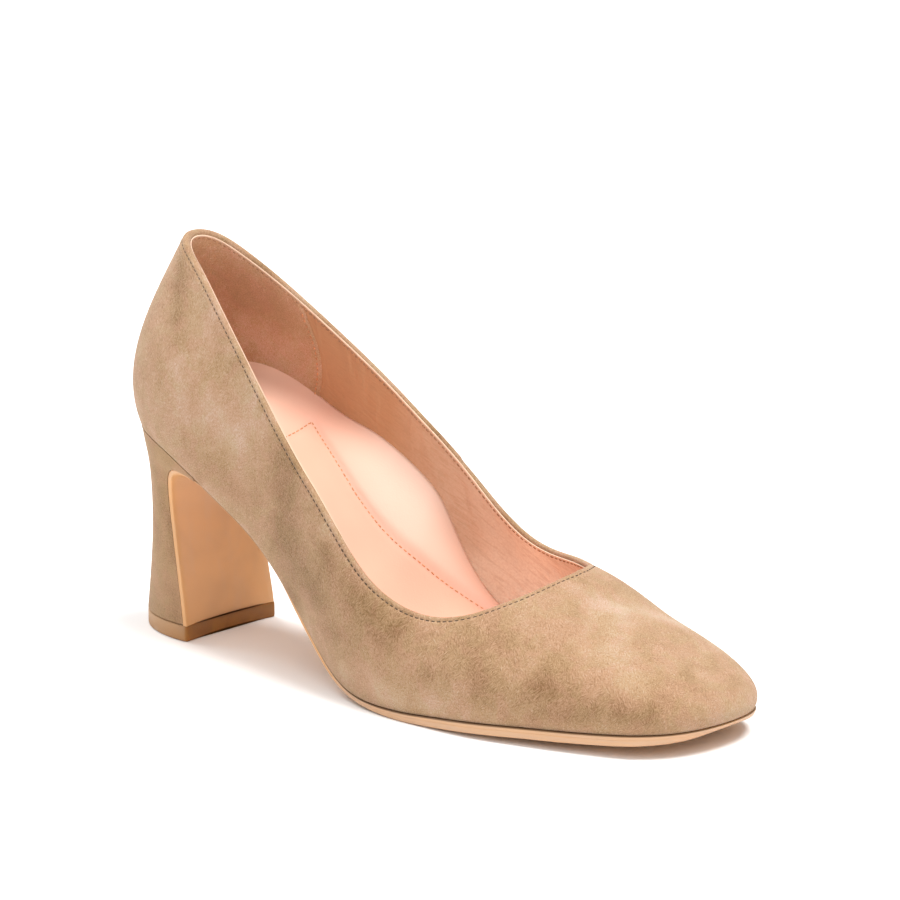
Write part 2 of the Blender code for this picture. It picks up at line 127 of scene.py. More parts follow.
# Way from the topline over which dents come to their full depth.
DENT_FADE = 0.8
# Tuck of the suede under the feather line: way in, way down.
TUCK = ((2.4, 0.28), (0.5, 0.2))
# Cut edge of the lining: gap to the fold, steps of its half round, rise.
LINING_EDGE_GAP = 0.03
LINING_EDGE_STEPS = 7
LINING_EDGE_RISE = 0.3
# Stitch row of the lining: share of the drop of the topline's row, and a way added to it.
LINING_DROP = (0.3, 0.4)
# Painted light on the front of the lining, paler towards the vamp: row where it starts, rows to the full
# paleness.
LINING_PAINTED_LIGHT = (5.0, 3.5)

# Feather line: x, z.
FEATHER = ((4.0, 65.6), (18.0, 63.9), (29.0, 61.0), (40.0, 56.1), (54.0, 48.2), (67.0, 40.0),
           (81.0, 27.7), (96.0, 13.1), (104.0, 7.3), (110.0, 4.6), (116.5, 3.1), (123.0, 2.6),
           (130.0, 2.6), (139.0, 2.85), (148.0, 3.5), (160.0, 4.35), (171.0, 5.0), (186.0, 5.7),
           (201.0, 6.4), (214.0, 7.2), (222.0, 7.65), (226.0, 8.0))
TREAD_THICK = 3.0
LOWEST_SEAM = 2.5
# Rise of the medial feather line at the arch, its x and its length.
ARCH_RISE = 3.5
ARCH_X = 75.0
ARCH_LENGTH = 22.0

# Outsole: x, how far it stands out past the feather line, thickness.
WELT = ((42.0, -0.5, 1.6), (70.0, -0.35, 1.3), (85.0, -0.3, 1.25), (100.0, -0.2, 1.25),
        (110.0, 0.0, 1.3), (116.5, 0.2, 1.4), (123.0, 0.4, 1.7), (130.0, 0.6, 2.1), (139.0, 0.75, 2.55),
        (148.0, 0.8, 2.85), (165.0, 0.8, 3.0), (205.0, 0.7, 3.0), (217.0, 0.6, 3.0), (222.0, 0.5, 2.8),
        (224.5, 0.35, 2.1), (227.0, 0.2, 1.5))
# Sole edge: share of the thickness from the top, stand-out in mm on a 3 mm edge.
EDGE = ((0.0, -0.30), (0.07, -0.08), (0.18, 0.0), (0.30, 0.0), (0.34, -0.08), (0.38, 0.0),
        (0.75, 0.02), (0.88, -0.12), (1.0, -0.65))
EDGE_STEPS = 25
EDGE_THICK = 3.0
SOLE_COLUMNS = 17
# Fine edge of the waist: x up to which it is fine, way to the full edge, share of the flap to its end.
FINE_X = 62.0
FINE_LENGTH = 26.0
FINE_FLAP = 0.3
# Undercut of the fine edge: depth, share of the thickness where it starts, power.
UNDERCUT = (6.0, 0.22, 1.4)
# Bevel under the toe: depth, power by the way the edge faces, power down the edge.
TOE_BEVEL = (2.8, 1.3, 1.5)
# Pale trim of the edge: x where it starts, way to its full strength, strength at the waist and on the
# flap, share of the flap where it turns and way to its end. On the flap's rounded sides it is partly
# the trimmed edge and partly a painted highlight.
TRIM_X = 98.0
TRIM_LENGTH = 14.0
WAIST_TRIM = 0.55
FLAP_TRIM_AND_PAINTED_HIGHLIGHT = 0.3
FLAP_TURN = 0.1
FLAP_FADE = 0.2
# Bands of the edge: share of the upper band, how much they crowd at the waist, mark of the flap.
UPPER_BAND = 0.3
WAIST_BAND = 0.35
FLAP_BAND = 0.3

# Front of the heel in side view, four control points of a cubic curve: x, z.
BREAST = ((46.0, 52.3), (20.0, 62.0), (25.5, 45.0), (31.9, 5.3))
# Flap over the breast: share of the way down, half width, thickness.
FLAP = ((0.0, 24.8, 2.0), (0.15, 24.2, 1.9), (0.3, 22.4, 1.8), (0.5, 20.0, 1.7), (0.75, 19.0, 1.6),
        (1.0, 19.6, 1.6))
FLAP_STEPS = 60
# Share of the flap over which its medial side comes down, and way of its end past the heel.
FLAP_JOIN = 0.2
FLAP_TAIL = 0.9
# Scoop of the breast: depth, share of the flap where it starts, share to its full depth.
HOLLOW = 1.6
HOLLOW_START = 0.35
HOLLOW_FADE = 0.3

# Back of the heel in side view: z, x.
HEEL_BACK = ((5.3, 3.3), (14.0, 4.8), (25.0, 6.7), (36.0, 8.0), (48.0, 8.6), (57.0, 8.0), (65.6, 5.2))
HEEL_FOOT = 5.3
HEEL_TIP = 0.035
HEEL_STEPS = 56
HEEL_TURNS = 40
HEEL_CROWD = 1.5
BREAST_COLUMNS = 17
# Room between heel and flap, power of the turn into the seat, least height of the last section.
HEEL_CLEAR = 0.03
SEAT_POWER = 7
SEAT_STEP = 0.3

LIFT_CORNER = 1.3
OUTLINE_STEPS = 260
LIFT_TURNS = 97
LIFT_COLUMNS = 33
LIFT_BACK = 3.1
LIFT_FRONT = 33.9
LIFT_HALF_WIDTH = 20.0
# Edge of the top lift: inset, height.
LIFT_EDGE = ((0.9, 0.0), (0.45, 0.05), (0.12, 0.28), (0.0, 0.7), (0.0, 4.4), (0.1, 4.75), (0.35, 4.95),
             (0.8, 5.0))
# Height of the scuffed lower edge, and painted light that makes the faces towards the back paler than
# the front, by the way the side faces: at right angles, change.
WEAR_HEIGHT = 1.6
LIFT_PAINTED_LIGHT = (0.5, 1.2)

# Footbed: x, height of its lateral edge, middle and medial edge above the feather line.
BED = ((4.0, 11.2, 10.8, 11.8), (19.0, 12.7, 10.6, 16.8), (33.4, 14.6, 12.1, 18.5),
       (45.6, 14.4, 12.7, 19.3), (58.2, 12.4, 11.5, 19.9), (72.4, 9.4, 8.4, 23.8),
       (81.6, 9.0, 8.1, 27.4), (89.0, 9.4, 8.7, 30.6), (95.8, 9.8, 9.2, 31.2),
       (101.8, 9.5, 8.9, 27.2), (109.3, 8.3, 7.8, 20.4), (119.2, 6.3, 6.1, 13.0),
       (132.0, 5.0, 5.0, 7.5), (160.0, 4.2, 4.4, 4.6), (225.0, 3.6, 4.0, 3.6))
BED_COLUMNS = 72
BED_CLEAR = -0.05
# Ways down the wall from the edge of the footbed, and its least height above the feather line.
BED_DROPS = (0.0, 0.5, 1.5, 4.0)
BED_LEAST = 0.2
# Inside of the wall as the footbed reads it: first share of the rib, steps.
WALL_START = 0.01
WALL_STEPS = 120
# Cross section: share across of its lowest place, powers of the rise to the lateral and the medial edge.
BED_MIDDLE = 0.4
BED_POWERS = (2, 2.5)
# Sewn lines of the footbed: x, y of the medial line, y of the lateral line.
BED_LINE = ((50.0, 16.4, -13.0), (53.2, 15.6, -13.0), (58.3, 14.0, -13.0), (68.0, 11.5, -13.0),
            (78.0, 10.2, -13.6), (86.0, 10.7, -15.2), (94.6, 13.2, -18.0), (102.3, 17.4, -21.0),
            (110.3, 22.4, -24.5), (116.0, 25.2, -27.0), (130.0, 28.0, -31.0), (160.0, 29.4, -33.0))
BED_BAR_X = 53.2
BED_LINE_END = 150.0
BED_LINE_FADE = 8.0
BAR_NORMAL = (0.45, 0.0, 0.9)
# Channel of a sewn line: depth, width.
CHANNEL_DEPTH = 0.5
CHANNEL_WIDTH = 0.8
# Pillows outside the medial and the lateral line: heights, x of the top, length, lean outwards.
PILLOWS = (2.6, 0.6)
PILLOW_X = 88.0
PILLOW_LENGTH = 26.0
PILLOW_LEAN = 0.75
# Rounds to find a sewn line across the footbed, its limits, and the step to its neighbours.
LINE_ROUNDS = 4
LINE_LIMITS = (0.02, 0.98)
LINE_BESIDE = 0.02
# Paler footbed, partly its own tone and partly painted light, with a painted highlight on the arch
# cushion: x where the heel starts and way to its full paleness; edge, x and length of the cushion.
HEEL_PALE_AND_PAINTED_LIGHT = (62.0, 30.0)
CUSHION_HIGHLIGHT_EDGE = 2.0
PAINTED_HIGHLIGHT_CUSHION = (92.0, 30.0)

# Heel grip: share of the rib, place of its front edge.
GRIP = ((0.0, 3.6), (0.42, 3.62), (0.7, 3.6), (0.83, 3.49), (0.88, 3.42), (1.0, 3.28))
GRIP_ROWS = 90
GRIP_STEPS = 40
# First and last share of the rib, share of the place at its bent border, sink of the border into the
# lining, share of the rib over which it thins out to the topline, and the least thickness there.
GRIP_SPAN = (0.999, 0.2)
GRIP_BEND = 0.998
GRIP_SINK = 0.05
GRIP_THIN = (0.03, 0.1)
# Its stitch row: first and last share of the rib, rows behind the edge, height, length of a stitch.
GRIP_SEAM_SPAN = (0.95, 0.3)
GRIP_SEAM_IN = 0.07
GRIP_SEAM_UP = 0.1
GRIP_STITCH = 0.8
# Its suede against the mean colour: dark nap, light nap, and how uneven it is.
GRIP_DARK = 0.6
GRIP_LIGHT = (1.5, 1.9, 2.4)
GRIP_BRUSH = 0.7

# Side seam of vamp and quarter on the medial side, and how far it slants to the toe at its foot.
SEAM_PLACE = -6.62
SEAM_SLANT = 0.35
# Its groove and the ridge beside it: height, place across, width.
SIDE_GROOVE = (0.4, 0.0, 0.7)
SIDE_RIDGE = (0.3, 1.6, 1.2)
# Its notch in the topline: depth, place, width.
NOTCH = (0.5, 0.0, 0.6)
# The step in front of the notch: depth, way to the full depth, way to its end.
NOTCH_STEP = (0.4, 0.8, 25.0)

# Strokes of tone: start x, y, z, end x, y, z, half width, tone from dark -1 to light 1. On the upper
# some are brushed nap; the dark ones over the lateral waist are painted shade and the light ones over
# the top of the vamp are painted highlights.
NAP_AND_PAINTED_LIGHT = ((26, -12, 116, 31, -18, 102, 3.5, -0.8), (31, -19, 99, 32, -21, 94, 3.2, -0.4),
       (42, -27, 67, 43, -27, 62, 3.8, -0.3), (52, -27, 59, 67, -27, 51, 5.2, -0.45),
       (88, -31, 39, 104, -35, 28, 7.0, -0.8),
       (84, -28, 64, 85, -28, 27, 9.0, -1.0), (104, -33, 43, 106, -34, 40, 4.1, -0.8),
       (117, -36, 32, 132, -36, 26, 5.5, -1.0), (111, -36, 20, 120, -38, 17, 5.2, -0.4),
       (160, -32, 24, 166, -37, 14, 4.1, -0.5), (160, -26, 30, 174, -28, 25, 4.6, -0.4),
       (148, -39, 15, 153, -39, 14, 3.2, -0.3), (184, -32, 17, 195, -30, 13, 5.2, -0.65),
       (201, -28, 12, 214, -22, 14, 4.1, -0.65), (214, -5, 20, 219, -5, 17, 3.5, -0.5),
       (219, 10, 18, 222, 7, 16, 2.9, -0.5), (151, -33, 25, 189, -30, 17, 11.6, -0.25),
       (200, -8, 26, 213, -16, 19, 7.0, -0.2), (35, -24, 88, 39, -26, 77, 3.8, 0.45),
       (50, -25, 78, 63, -26, 68, 3.8, 0.45), (64, -24, 81, 69, -25, 76, 5.2, 0.3),
       (130, -39, 8, 137, -39, 6, 4.1, 0.6), (147, -39, 7, 153, -39, 7, 2.9, 0.35),
       (113, -36, 9, 117, -37, 9, 3.5, 0.3), (178, -1, 34, 195, 20, 26, 4.6, 0.8),
       (169, -2, 38, 172, 0, 37, 2.3, 0.4), (24, -24, 65, 26, -24, 62, 2.3, 0.4),
       (205, 21, 22, 207, 22, 20, 4.1, 0.4), (180, -32, 5, 193, -30, 6, 2.3, 0.3))
HEEL_NAP = ((27, -19, 15, 29, -19, 5, 2.9, -0.55), (27, -19, 39, 27, -19, 25, 2.3, -0.45),
            (10, 6, 20, 10, 8, 34, 5.0, -0.4), (12, 14, 44, 16, 16, 52, 4.0, 0.4),
            (14, -17, 40, 16, -17, 18, 2.6, 0.45), (22, -20, 52, 23, -20, 40, 2.4, -0.4))
# Strokes of tone on the heel grip: one dark high on the medial side, light ones lower towards the front
# and at the back near the top.
GRIP_STROKES = ((26, 14, 104, 36, 15, 100, 9.0, -0.6), (24, 19, 88, 42, 22, 80, 9.0, 0.9),
            (21, 5, 119, 33, 11, 113, 5.0, 0.45), (19, 9, 107, 20, 8, 112, 5.0, 0.15))
# How far forward the strokes lie on the other side of the shoe.
NAP_AHEAD = 9.0
# Fibres of the suede: length and widths in metres, two turns that cross.
FIBRE = (0.0012, 0.00027, 0.00027)
FIBRE_TURNS = ((0.0, -0.72, 0.64), (0.0, 0.72, -0.64))
OLIVE_CAST = (0.975, 1.0, 0.955)
WARM_CAST = (1.02, 0.985, 1.01)
# Wrinkles of the lining: length and widths in metres, turn.
WRINKLE = (0.008, 0.0012, 0.0012)
WRINKLE_TURN = (0.0, 0.5, 0.2)
# Paler colour of the rubber's back faces, painted light, against its scuffed colour.
RUBBER_PAINTED_LIGHT = (1.45, 2.2, 5.2)

# Lights: name, way to it, spread in degrees, strength, whether it shines in gloss.
SUNS = (("key", (0.29, 0.12, 1.0), 28, 3.15, False), ("back", (-0.62, 0.08, 0.78), 32, 1.5, True),
        ("front", (0.35, -0.7, 0.8), 55, 0.8, True))
AIR_STRENGTH = 0.5
FLOOR_HALF = 6.0
# Camera: turn to the toe, rise and angle of view in degrees, distance and point looked at in metres.
CAMERA_TURN = 40.7
CAMERA_RISE = 12.8
CAMERA_ANGLE = 13.85
CAMERA_AWAY = 1.075
CAMERA_AIM = (0.01138, 0.0, 0.0708)


def length_property(name, description, default, low, high):
    """Length setting with its default and its limits, in metres."""
    return FloatProperty(name=name, description=description, default=default, min=low, max=high,
                         subtype="DISTANCE", unit="LENGTH")


def colour_property(name, description, colour):
    """Colour setting with its default, in linear light."""
    return FloatVectorProperty(name=name, description=description, default=colour, size=3, min=0.0,
                               max=1.0, subtype="COLOR")


class PumpSizes(bpy.types.PropertyGroup):
    """Sizes of the fine work on the shoe."""

    wall: length_property("Wall", "Thickness of suede and lining together", 0.0022, 0.001, 0.003)
    fold: length_property("Topline fold", "Radius of the folded suede edge", 0.0009, 0.0003, 0.0012)
    seam_drop: length_property("Topline seam", "Stitch row below the topline", 0.0009, 0.0005, 0.006)
    seam_depth: length_property("Seam groove", "How far the stitches pull the suede in",
                                0.0003, 0.0, 0.001)
    stitch_pitch: length_property("Stitch pitch", "Distance from stitch to stitch", 0.0018, 0.001, 0.005)
    stitch_length: length_property("Stitch length", "Length of one stitch", 0.0013, 0.0005, 0.004)
    thread: length_property("Thread", "Radius of the sewing thread", 0.00028, 0.0001, 0.0005)
    grip: length_property("Heel grip", "Thickness of the suede heel grip", 0.0004, 0.0002, 0.001)


class PumpColours(bpy.types.PropertyGroup):
    """Colours of the materials."""

    suede: colour_property("Suede", "Mean colour of the upper", (0.42, 0.256, 0.147))
    # The dark and light nap colours also paint the painted shade and painted highlight strokes of the
    # upper.
    suede_dark: colour_property("Suede, dark nap", "Nap brushed away from the light",
                                (0.20, 0.108, 0.046))
    suede_light: colour_property("Suede, light nap", "Nap brushed to the light", (0.55, 0.42, 0.325))
    heel: colour_property("Heel cover", "Mean colour of the heel cover", (0.39, 0.235, 0.125))
    lining: colour_property("Lining", "Leather lining of the sides", (0.59, 0.31, 0.16))
    # Paler colour of the lining towards the vamp: painted light.
    lining_front_painted_light: colour_property("Lining, front", "Leather lining of the vamp", (0.98, 0.86, 0.70))
    lining_edge: colour_property("Lining edge", "Cut edge of the lining", (0.92, 0.66, 0.48))
    grip: colour_property("Heel grip", "Suede lining of the heel", (0.565, 0.308, 0.174))
    footbed: colour_property("Footbed", "Leather of the footbed", (0.97, 0.49, 0.35))
    # Paler footbed at heel and arch: partly the leather's tone, partly painted light, with a painted
    # highlight on the arch cushion.
    footbed_pale_and_painted_light: colour_property("Footbed, pale", "Footbed at the heel and arch", (0.99, 0.665, 0.515))
    sole: colour_property("Sole", "Leather of sole and breast", (0.685, 0.36, 0.15))
    sole_edge: colour_property("Sole edge", "Trimmed edge of the sole", (0.57, 0.35, 0.21))
    lift: colour_property("Top lift", "Rubber under the heel", (0.25, 0.105, 0.026))
    thread: colour_property("Thread", "Stitches of the topline", (0.115, 0.075, 0.048))
    lining_thread: colour_property("Lining thread", "Stitches on the lining", (0.52, 0.27, 0.15))
    bed_thread: colour_property("Footbed thread", "Stitches of the footbed", (0.80, 0.36, 0.18))
    floor: colour_property("Floor", "Floor of the studio", (0.95, 0.95, 0.95))


def slopes(knots, values, closed):
    """Slope at every knot that keeps the curvature of the curve continuous."""
    step = np.diff(knots)
    rise = np.diff(values, axis=0) / step[:, None]
    count = len(knots)
    matrix = np.zeros((count, count))
    right = np.zeros_like(values)
    for i in range(1, count - 1):
        matrix[i, i - 1:i + 2] = step[i], 2 * (step[i - 1] + step[i]), step[i - 1]
        right[i] = 3 * (step[i] * rise[i - 1] + step[i - 1] * rise[i])
    if closed:
        matrix[0, 0] = 1
        matrix[0, -1] = -1
        matrix[-1, [count - 2, 0, 1]] = step[0], 2 * (step[-1] + step[0]), step[-1]
        right[-1] = 3 * (step[0] * rise[-1] + step[-1] * rise[0])
    else:
        matrix[0, :2] = 2, 1
        right[0] = 3 * rise[0]
        matrix[-1, -2:] = 1, 2
        right[-1] = 3 * rise[-1]
    return np.linalg.solve(matrix, right)


def spline(knots, values, at, closed=False):
    """Smooth curve through the rows of a table, and its slope, at the given places."""
    knots = np.asarray(knots, float)
    values = np.asarray(values, float).reshape(len(knots), -1)
    at = np.asarray(at, float)
    slope = slopes(knots, values, closed)
    k = np.clip(np.searchsorted(knots, at, side="right") - 1, 0, len(knots) - 2)
    step = (knots[k + 1] - knots[k])[:, None]
    s = (at - knots[k])[:, None] / step
    a, b, c, d = values[k], values[k + 1], slope[k] * step, slope[k + 1] * step
    point = (1 + 2 * s) * (1 - s) ** 2 * a + s ** 2 * (3 - 2 * s) * b
    point += s * (1 - s) ** 2 * c + s ** 2 * (s - 1) * d
    along = 6 * s * (1 - s) * (b - a) + (1 - s) * (1 - 3 * s) * c + s * (3 * s - 2) * d
    return point, along / step


def column(table, number, at):
    """One column of a table read at the given places along its first column."""
    rows = np.array(table, float)
    return np.interp(at, rows[:, 0], rows[:, number])


def smooth_column(table, number, at):
    """One column of a table as a smooth curve at the given places."""
    rows = np.array(table, float)
    at = np.asarray(at, float)
    inside = np.clip(at, rows[0, 0], rows[-1, 0])
    return spline(rows[:, 0], rows[:, number], inside.ravel())[0][:, 0].reshape(at.shape)


def bezier(p0, p1, p2, p3, t):
    """Cubic curve of four control points."""
    return (1 - t) ** 3 * p0 + 3 * t * (1 - t) ** 2 * p1 + 3 * t ** 2 * (1 - t) * p2 + t ** 3 * p3


def bezier_slope(p0, p1, p2, p3, t):
    """Slope of a cubic curve: three times the quadratic curve of the steps between its points."""
    return 3 * ((1 - t) ** 2 * (p1 - p0) + 2 * t * (1 - t) * (p2 - p1) + t ** 2 * (p3 - p2))


def unit(vectors):
    """Vectors of length one."""
    return vectors / np.maximum(np.linalg.norm(vectors, axis=-1, keepdims=True), 1e-12)


def bump_shape(distance, width):
    """Bell curve of height one."""
    return np.exp(-(distance / width) ** 2)


def bell(at, form):
    """Bell curve of a height, a place and a width."""
    height, place, width = form
    return height * bump_shape(at - place, width)


def ramp(value, length=1.0):
    """Value over length, held between 0 and 1."""
    return np.clip(value / length, 0, 1)


def between(at, knots, values):
    """Rows of values read straight between the knots at the given places."""
    return np.stack([np.interp(at, knots, part) for part in values.T], 1)


def way_along(*paths):
    """Way from the start of a path to each of its points, or the mean of it over several paths."""
    steps = np.mean([np.linalg.norm(np.diff(path, axis=0), axis=1) for path in paths], 0)
    return np.concatenate([[0], np.cumsum(steps)])


def stroke_tone(points, strokes):
    """Tone of brushed nap and of painted shade and highlights: for every stroke a bell curve of the
    distance to its line; the other side of the shoe has the strokes mirrored and a little further
    forward."""
    rows = np.array(strokes, float)
    start, run = rows[:, :3], rows[:, 3:6] - rows[:, :3]
    far = np.linalg.norm(run, axis=1)
    tone = np.zeros(len(points))
    for sign, ahead in ((1, 0.0), (-1, NAP_AHEAD)):
        away = points[:, None] * (1, sign, 1) - (ahead, 0, 0) - start
        share = ramp((away * run).sum(-1), far ** 2)
        away = np.linalg.norm(away - share[..., None] * run, axis=-1)
        tone += (rows[:, 7] * bump_shape(away, rows[:, 6])).sum(1)
    return np.clip(tone, -1, 1)


def feather_height(x, share=0.0):
    """Height of the seam at x, share 0 on the lateral side and 1 on the medial side."""
    rows = np.array(FEATHER)
    x = np.asarray(x, float)
    flat, _ = spline(rows[:, 0], rows[:, 1], x.ravel())
    height = np.maximum(flat[:, 0].reshape(x.shape), LOWEST_SEAM)
    return height + ARCH_RISE * bump_shape(x - ARCH_X, ARCH_LENGTH) * share


def rib_places():
    """Row number and share of the way to the next row for every rib, crowded behind the throat."""
    places = np.arange(0, RIBS_PER_ROW * (len(SECTIONS) - 1) + 1) / RIBS_PER_ROW
    away = ramp(THROAT - places, CROWD_ROWS)
    crowded = THROAT - CROWD_ROWS * away ** CROWD_POWER
    places = np.where((away > 0) & (away < 1), crowded, places)
    row = np.minimum(places.astype(int), len(SECTIONS) - 2)
    return row, places - row


def loop(lateral, medial, row, share):
    """Closed smooth curve through both sides; returns places and slopes of the two sides."""
    knots = way_along(lateral, medial)
    at = knots[row] + share * (knots[row + 1] - knots[row])
    turn = 2 * knots[-1]
    values = np.concatenate([lateral, medial[-2::-1]])
    knots = np.concatenate([knots, turn - knots[-2::-1]])
    return spline(knots, values, at, True), spline(knots, values, turn - at, True)


def rib_sides():
    """Feet, outward directions, control points and kept share of the ribs of the two sides."""
    table = dict(zip(SECTION_COLUMNS, np.array(list(SECTIONS.values()), float).T))
    row, share = rib_places()
    foot = [np.stack([table["foot_x"], table["foot_" + s]], 1) for s in ("lat", "med")]
    feet = loop(foot[0], foot[1], row, share)
    place = row + share
    rows = np.arange(len(SECTIONS))
    turn = len(SECTIONS) - 1
    tops = [np.stack([table["top_x"], table["top_" + s], table["high_" + s]], 1)
            for s in ("lat", "med")]
    around = np.concatenate([tops[1][:0:-1], tops[0]])
    line, _ = spline(np.arange(-turn, turn + 1), around, np.concatenate([place, -place]), True)
    line = np.split(line, 2)
    ridge = (place > THROAT)[:, None]
    middle = (line[0] + line[1]) / 2
    fall = np.gradient(tops[0][THROAT:, 2], tops[0][THROAT:, 0])
    drop = np.interp(place, rows[THROAT:], fall)
    open_share = ramp(THROAT - place, THROAT - ARCH)
    sides = []
    for number, side in enumerate(("lat", "med")):
        plan, run = feet[number]
        out = unit(np.stack([run[:, 1], -run[:, 0]], 1))
        high = feather_height(plan[:, 0], number)
        foot_point = np.column_stack([plan, high])
        top_point = np.where(ridge, middle, line[number])
        flare, lean, cut = [spline(rows, table[k], place)[0][:, 0]
                            for k in ("flare", "lean_" + side, "cut_" + side)]
        flare = np.radians(flare)
        lean = np.radians(np.minimum(lean, 90))
        size = np.linalg.norm(top_point - foot_point, axis=1)
        cut = np.where(place < ARCH, 0, np.maximum(cut, 0) * np.sqrt(open_share))
        room = FOLD_ROOM * ramp(THROAT - place, FOLD_FADE_ROWS) * (1 - bump_shape(place, ROLL_ROWS))
        rise = np.column_stack([out * np.sin(flare)[:, None], np.cos(flare)])
        settle = np.column_stack([-out * np.sin(lean)[:, None], np.cos(lean)])
        settle[:, 2] -= np.sin(lean) ** 3 * drop * out[:, 0]
        control = np.stack([foot_point, foot_point + FOOT_HOLD * size[:, None] * rise,
                            top_point - TOP_HOLD * size[:, None] * settle, top_point])
        sides.append({"place": place, "foot": foot_point, "out": out, "kept": 1 - (cut + room / size),
                      "control": control})
    sides[1]["control"][:, -1] = sides[0]["control"][:, -1]
    sides[1]["foot"][-1] = sides[0]["foot"][-1]
    return sides


def join_sides(sides):
    """One run of ribs from the medial toe round the heel to the lateral toe, with signed places."""
    lateral, medial = sides
    ribs = {"place": np.concatenate([-medial["place"][:0:-1], lateral["place"]])}
    for key in ("foot", "out", "kept"):
        ribs[key] = np.concatenate([medial[key][:0:-1], lateral[key]])
    ribs["control"] = np.concatenate([medial["control"][:, :0:-1], lateral["control"]], 1)
    ribs["change"] = np.gradient(ribs["control"], ribs["place"], axis=1)
    return ribs


def ribs_at(ribs, place):
    """Ribs at any signed places, read straight between the neighbouring ribs."""
    made = {"place": place, "kept": np.interp(place, ribs["place"], ribs["kept"])}
    for key in ("control", "change"):
        made[key] = np.stack([between(place, ribs["place"], line) for line in ribs[key]])
    return made


def wall_points(ribs, t):
    """Points of the outside of the upper at share t of every rib."""
    return bezier(*ribs["control"][:, :, None], t[..., None])


def wall_normals(ribs, t):
    """Outward normals: change along the shoe crossed with change along the rib."""
    t = np.minimum(t, NORMAL_LIMIT)[..., None]
    normal = unit(np.cross(bezier(*ribs["change"][:, :, None], t),
                           bezier_slope(*ribs["control"][:, :, None], t)))
    ridge = (np.abs(ribs["place"]) > THROAT)[:, None]
    normal[:, -1] = np.where(ridge, unit(normal[:, -1] + normal[::-1, -1]), normal[:, -1])
    return normal


def topline(ribs):
    """Closed line round the opening: point, outward normal, run along it, and way out over the edge."""
    keep = np.nonzero(np.abs(ribs["place"]) <= THROAT)[0][:-1]
    t = ribs["kept"][:, None]
    point = wall_points(ribs, t)[keep, 0]
    run = unit(np.roll(point, -1, axis=0) - np.roll(point, 1, axis=0))
    normal = wall_normals(ribs, np.concatenate([t, t], 1))[keep, 0]
    normal = unit(normal - run * (normal * run).sum(1)[:, None])
    return {"point": point, "normal": normal, "run": run, "over": np.cross(normal, run),
            "place": ribs["place"][keep]}


def wall_depth(place, sizes):
    """Thickness of the wall in mm: even, with a bell curve added at the back of the heel."""
    return sizes.wall / MM + ROLL * bump_shape(place, ROLL_ROWS)


def fold_radius(place, sizes):
    """Radius of the folded edge in mm, half of whatever the wall gains at the back of the heel added."""
    return sizes.fold / MM + ROLL / 2 * bump_shape(place, ROLL_ROWS)


def seam_drop(place, sizes):
    """Way of the stitch row down from the topline in mm, less at the heel than round the throat."""
    return sizes.seam_drop / MM * (DROP_AT_HEEL + (1 - DROP_AT_HEEL) * ramp(np.abs(place), DROP_ROWS))


def edge_strip(line, outward, over):
    """Profile given by arrays of steps outward and over the edge, carried round the topline."""
    return (line["point"][:, None] + line["normal"][:, None] * np.asarray(outward)[..., None]
            + line["over"][:, None] * np.asarray(over)[..., None])


def nearest(points, line):
    """Distance of every point to the nearest point of a line."""
    square = (points ** 2).sum(-1)[..., None] + (line ** 2).sum(-1) - 2 * points @ line.T
    return np.sqrt(np.maximum(square.min(-1), 0))


def grid_faces(grid, start=0, around=False):
    """Quads of a grid of points stored row after row, joined end to start where it goes around."""
    rows, columns = grid.shape[:2]
    number = start + np.arange(rows * columns).reshape(rows, columns)
    if around:
        number = np.concatenate([number, number[:1]])
    quads = np.stack([number[:-1, :-1], number[1:, :-1], number[1:, 1:], number[:-1, 1:]], -1)
    return quads.reshape(-1, 4).tolist()


def ring_faces(rings):
    """Quads between closed rings of points, and the numbers of the first and the last ring."""
    steps, count = rings.shape[:2]
    number = np.arange(steps * count).reshape(steps, count)
    after = np.roll(number, -1, axis=1)
    quads = np.stack([number[:-1], after[:-1], after[1:], number[1:]], -1).reshape(-1, 4)
    return quads.tolist(), number[0].tolist(), number[-1].tolist()


def shift():
    """Way from the tables to the frame: the top lift's box is centred on y 0 and starts at its back."""
    low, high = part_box("top_lift")
    return np.array([low[0] / MM - LIFT_BACK, (low[1] + high[1]) / 2 / MM, 0.0])


def add_piece(name, points, faces, look, closed=False, sharp=None, marks=None):
    """Mesh object at the origin that rides on the shoe; doubles merged, and on closed pieces faces
    turned to point outwards.
    """
    mesh = bpy.data.meshes.new(name)
    mesh.from_pydata(((points.reshape(-1, 3) + shift()) * MM).tolist(), [], faces)
    for key, values in (marks or {}).items():
        mesh.attributes.new(key, "FLOAT", "POINT").data.foreach_set("value", np.ravel(values))
    work = bmesh.new()
    work.from_mesh(mesh)
    bmesh.ops.remove_doubles(work, verts=work.verts, dist=MERGE)
    bmesh.ops.dissolve_degenerate(work, edges=work.edges, dist=SLIVER)
    if closed:
        bmesh.ops.recalc_face_normals(work, faces=work.faces)
    work.to_mesh(mesh)
    work.free()
    mesh.shade_smooth()
    if sharp:
        mesh.set_sharp_from_angle(angle=math.radians(sharp))
    mesh.materials.append(look)
    piece = bpy.data.objects.new(name, mesh)
    bpy.context.scene.collection.objects.link(piece)
    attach(piece, "root")
    return piece


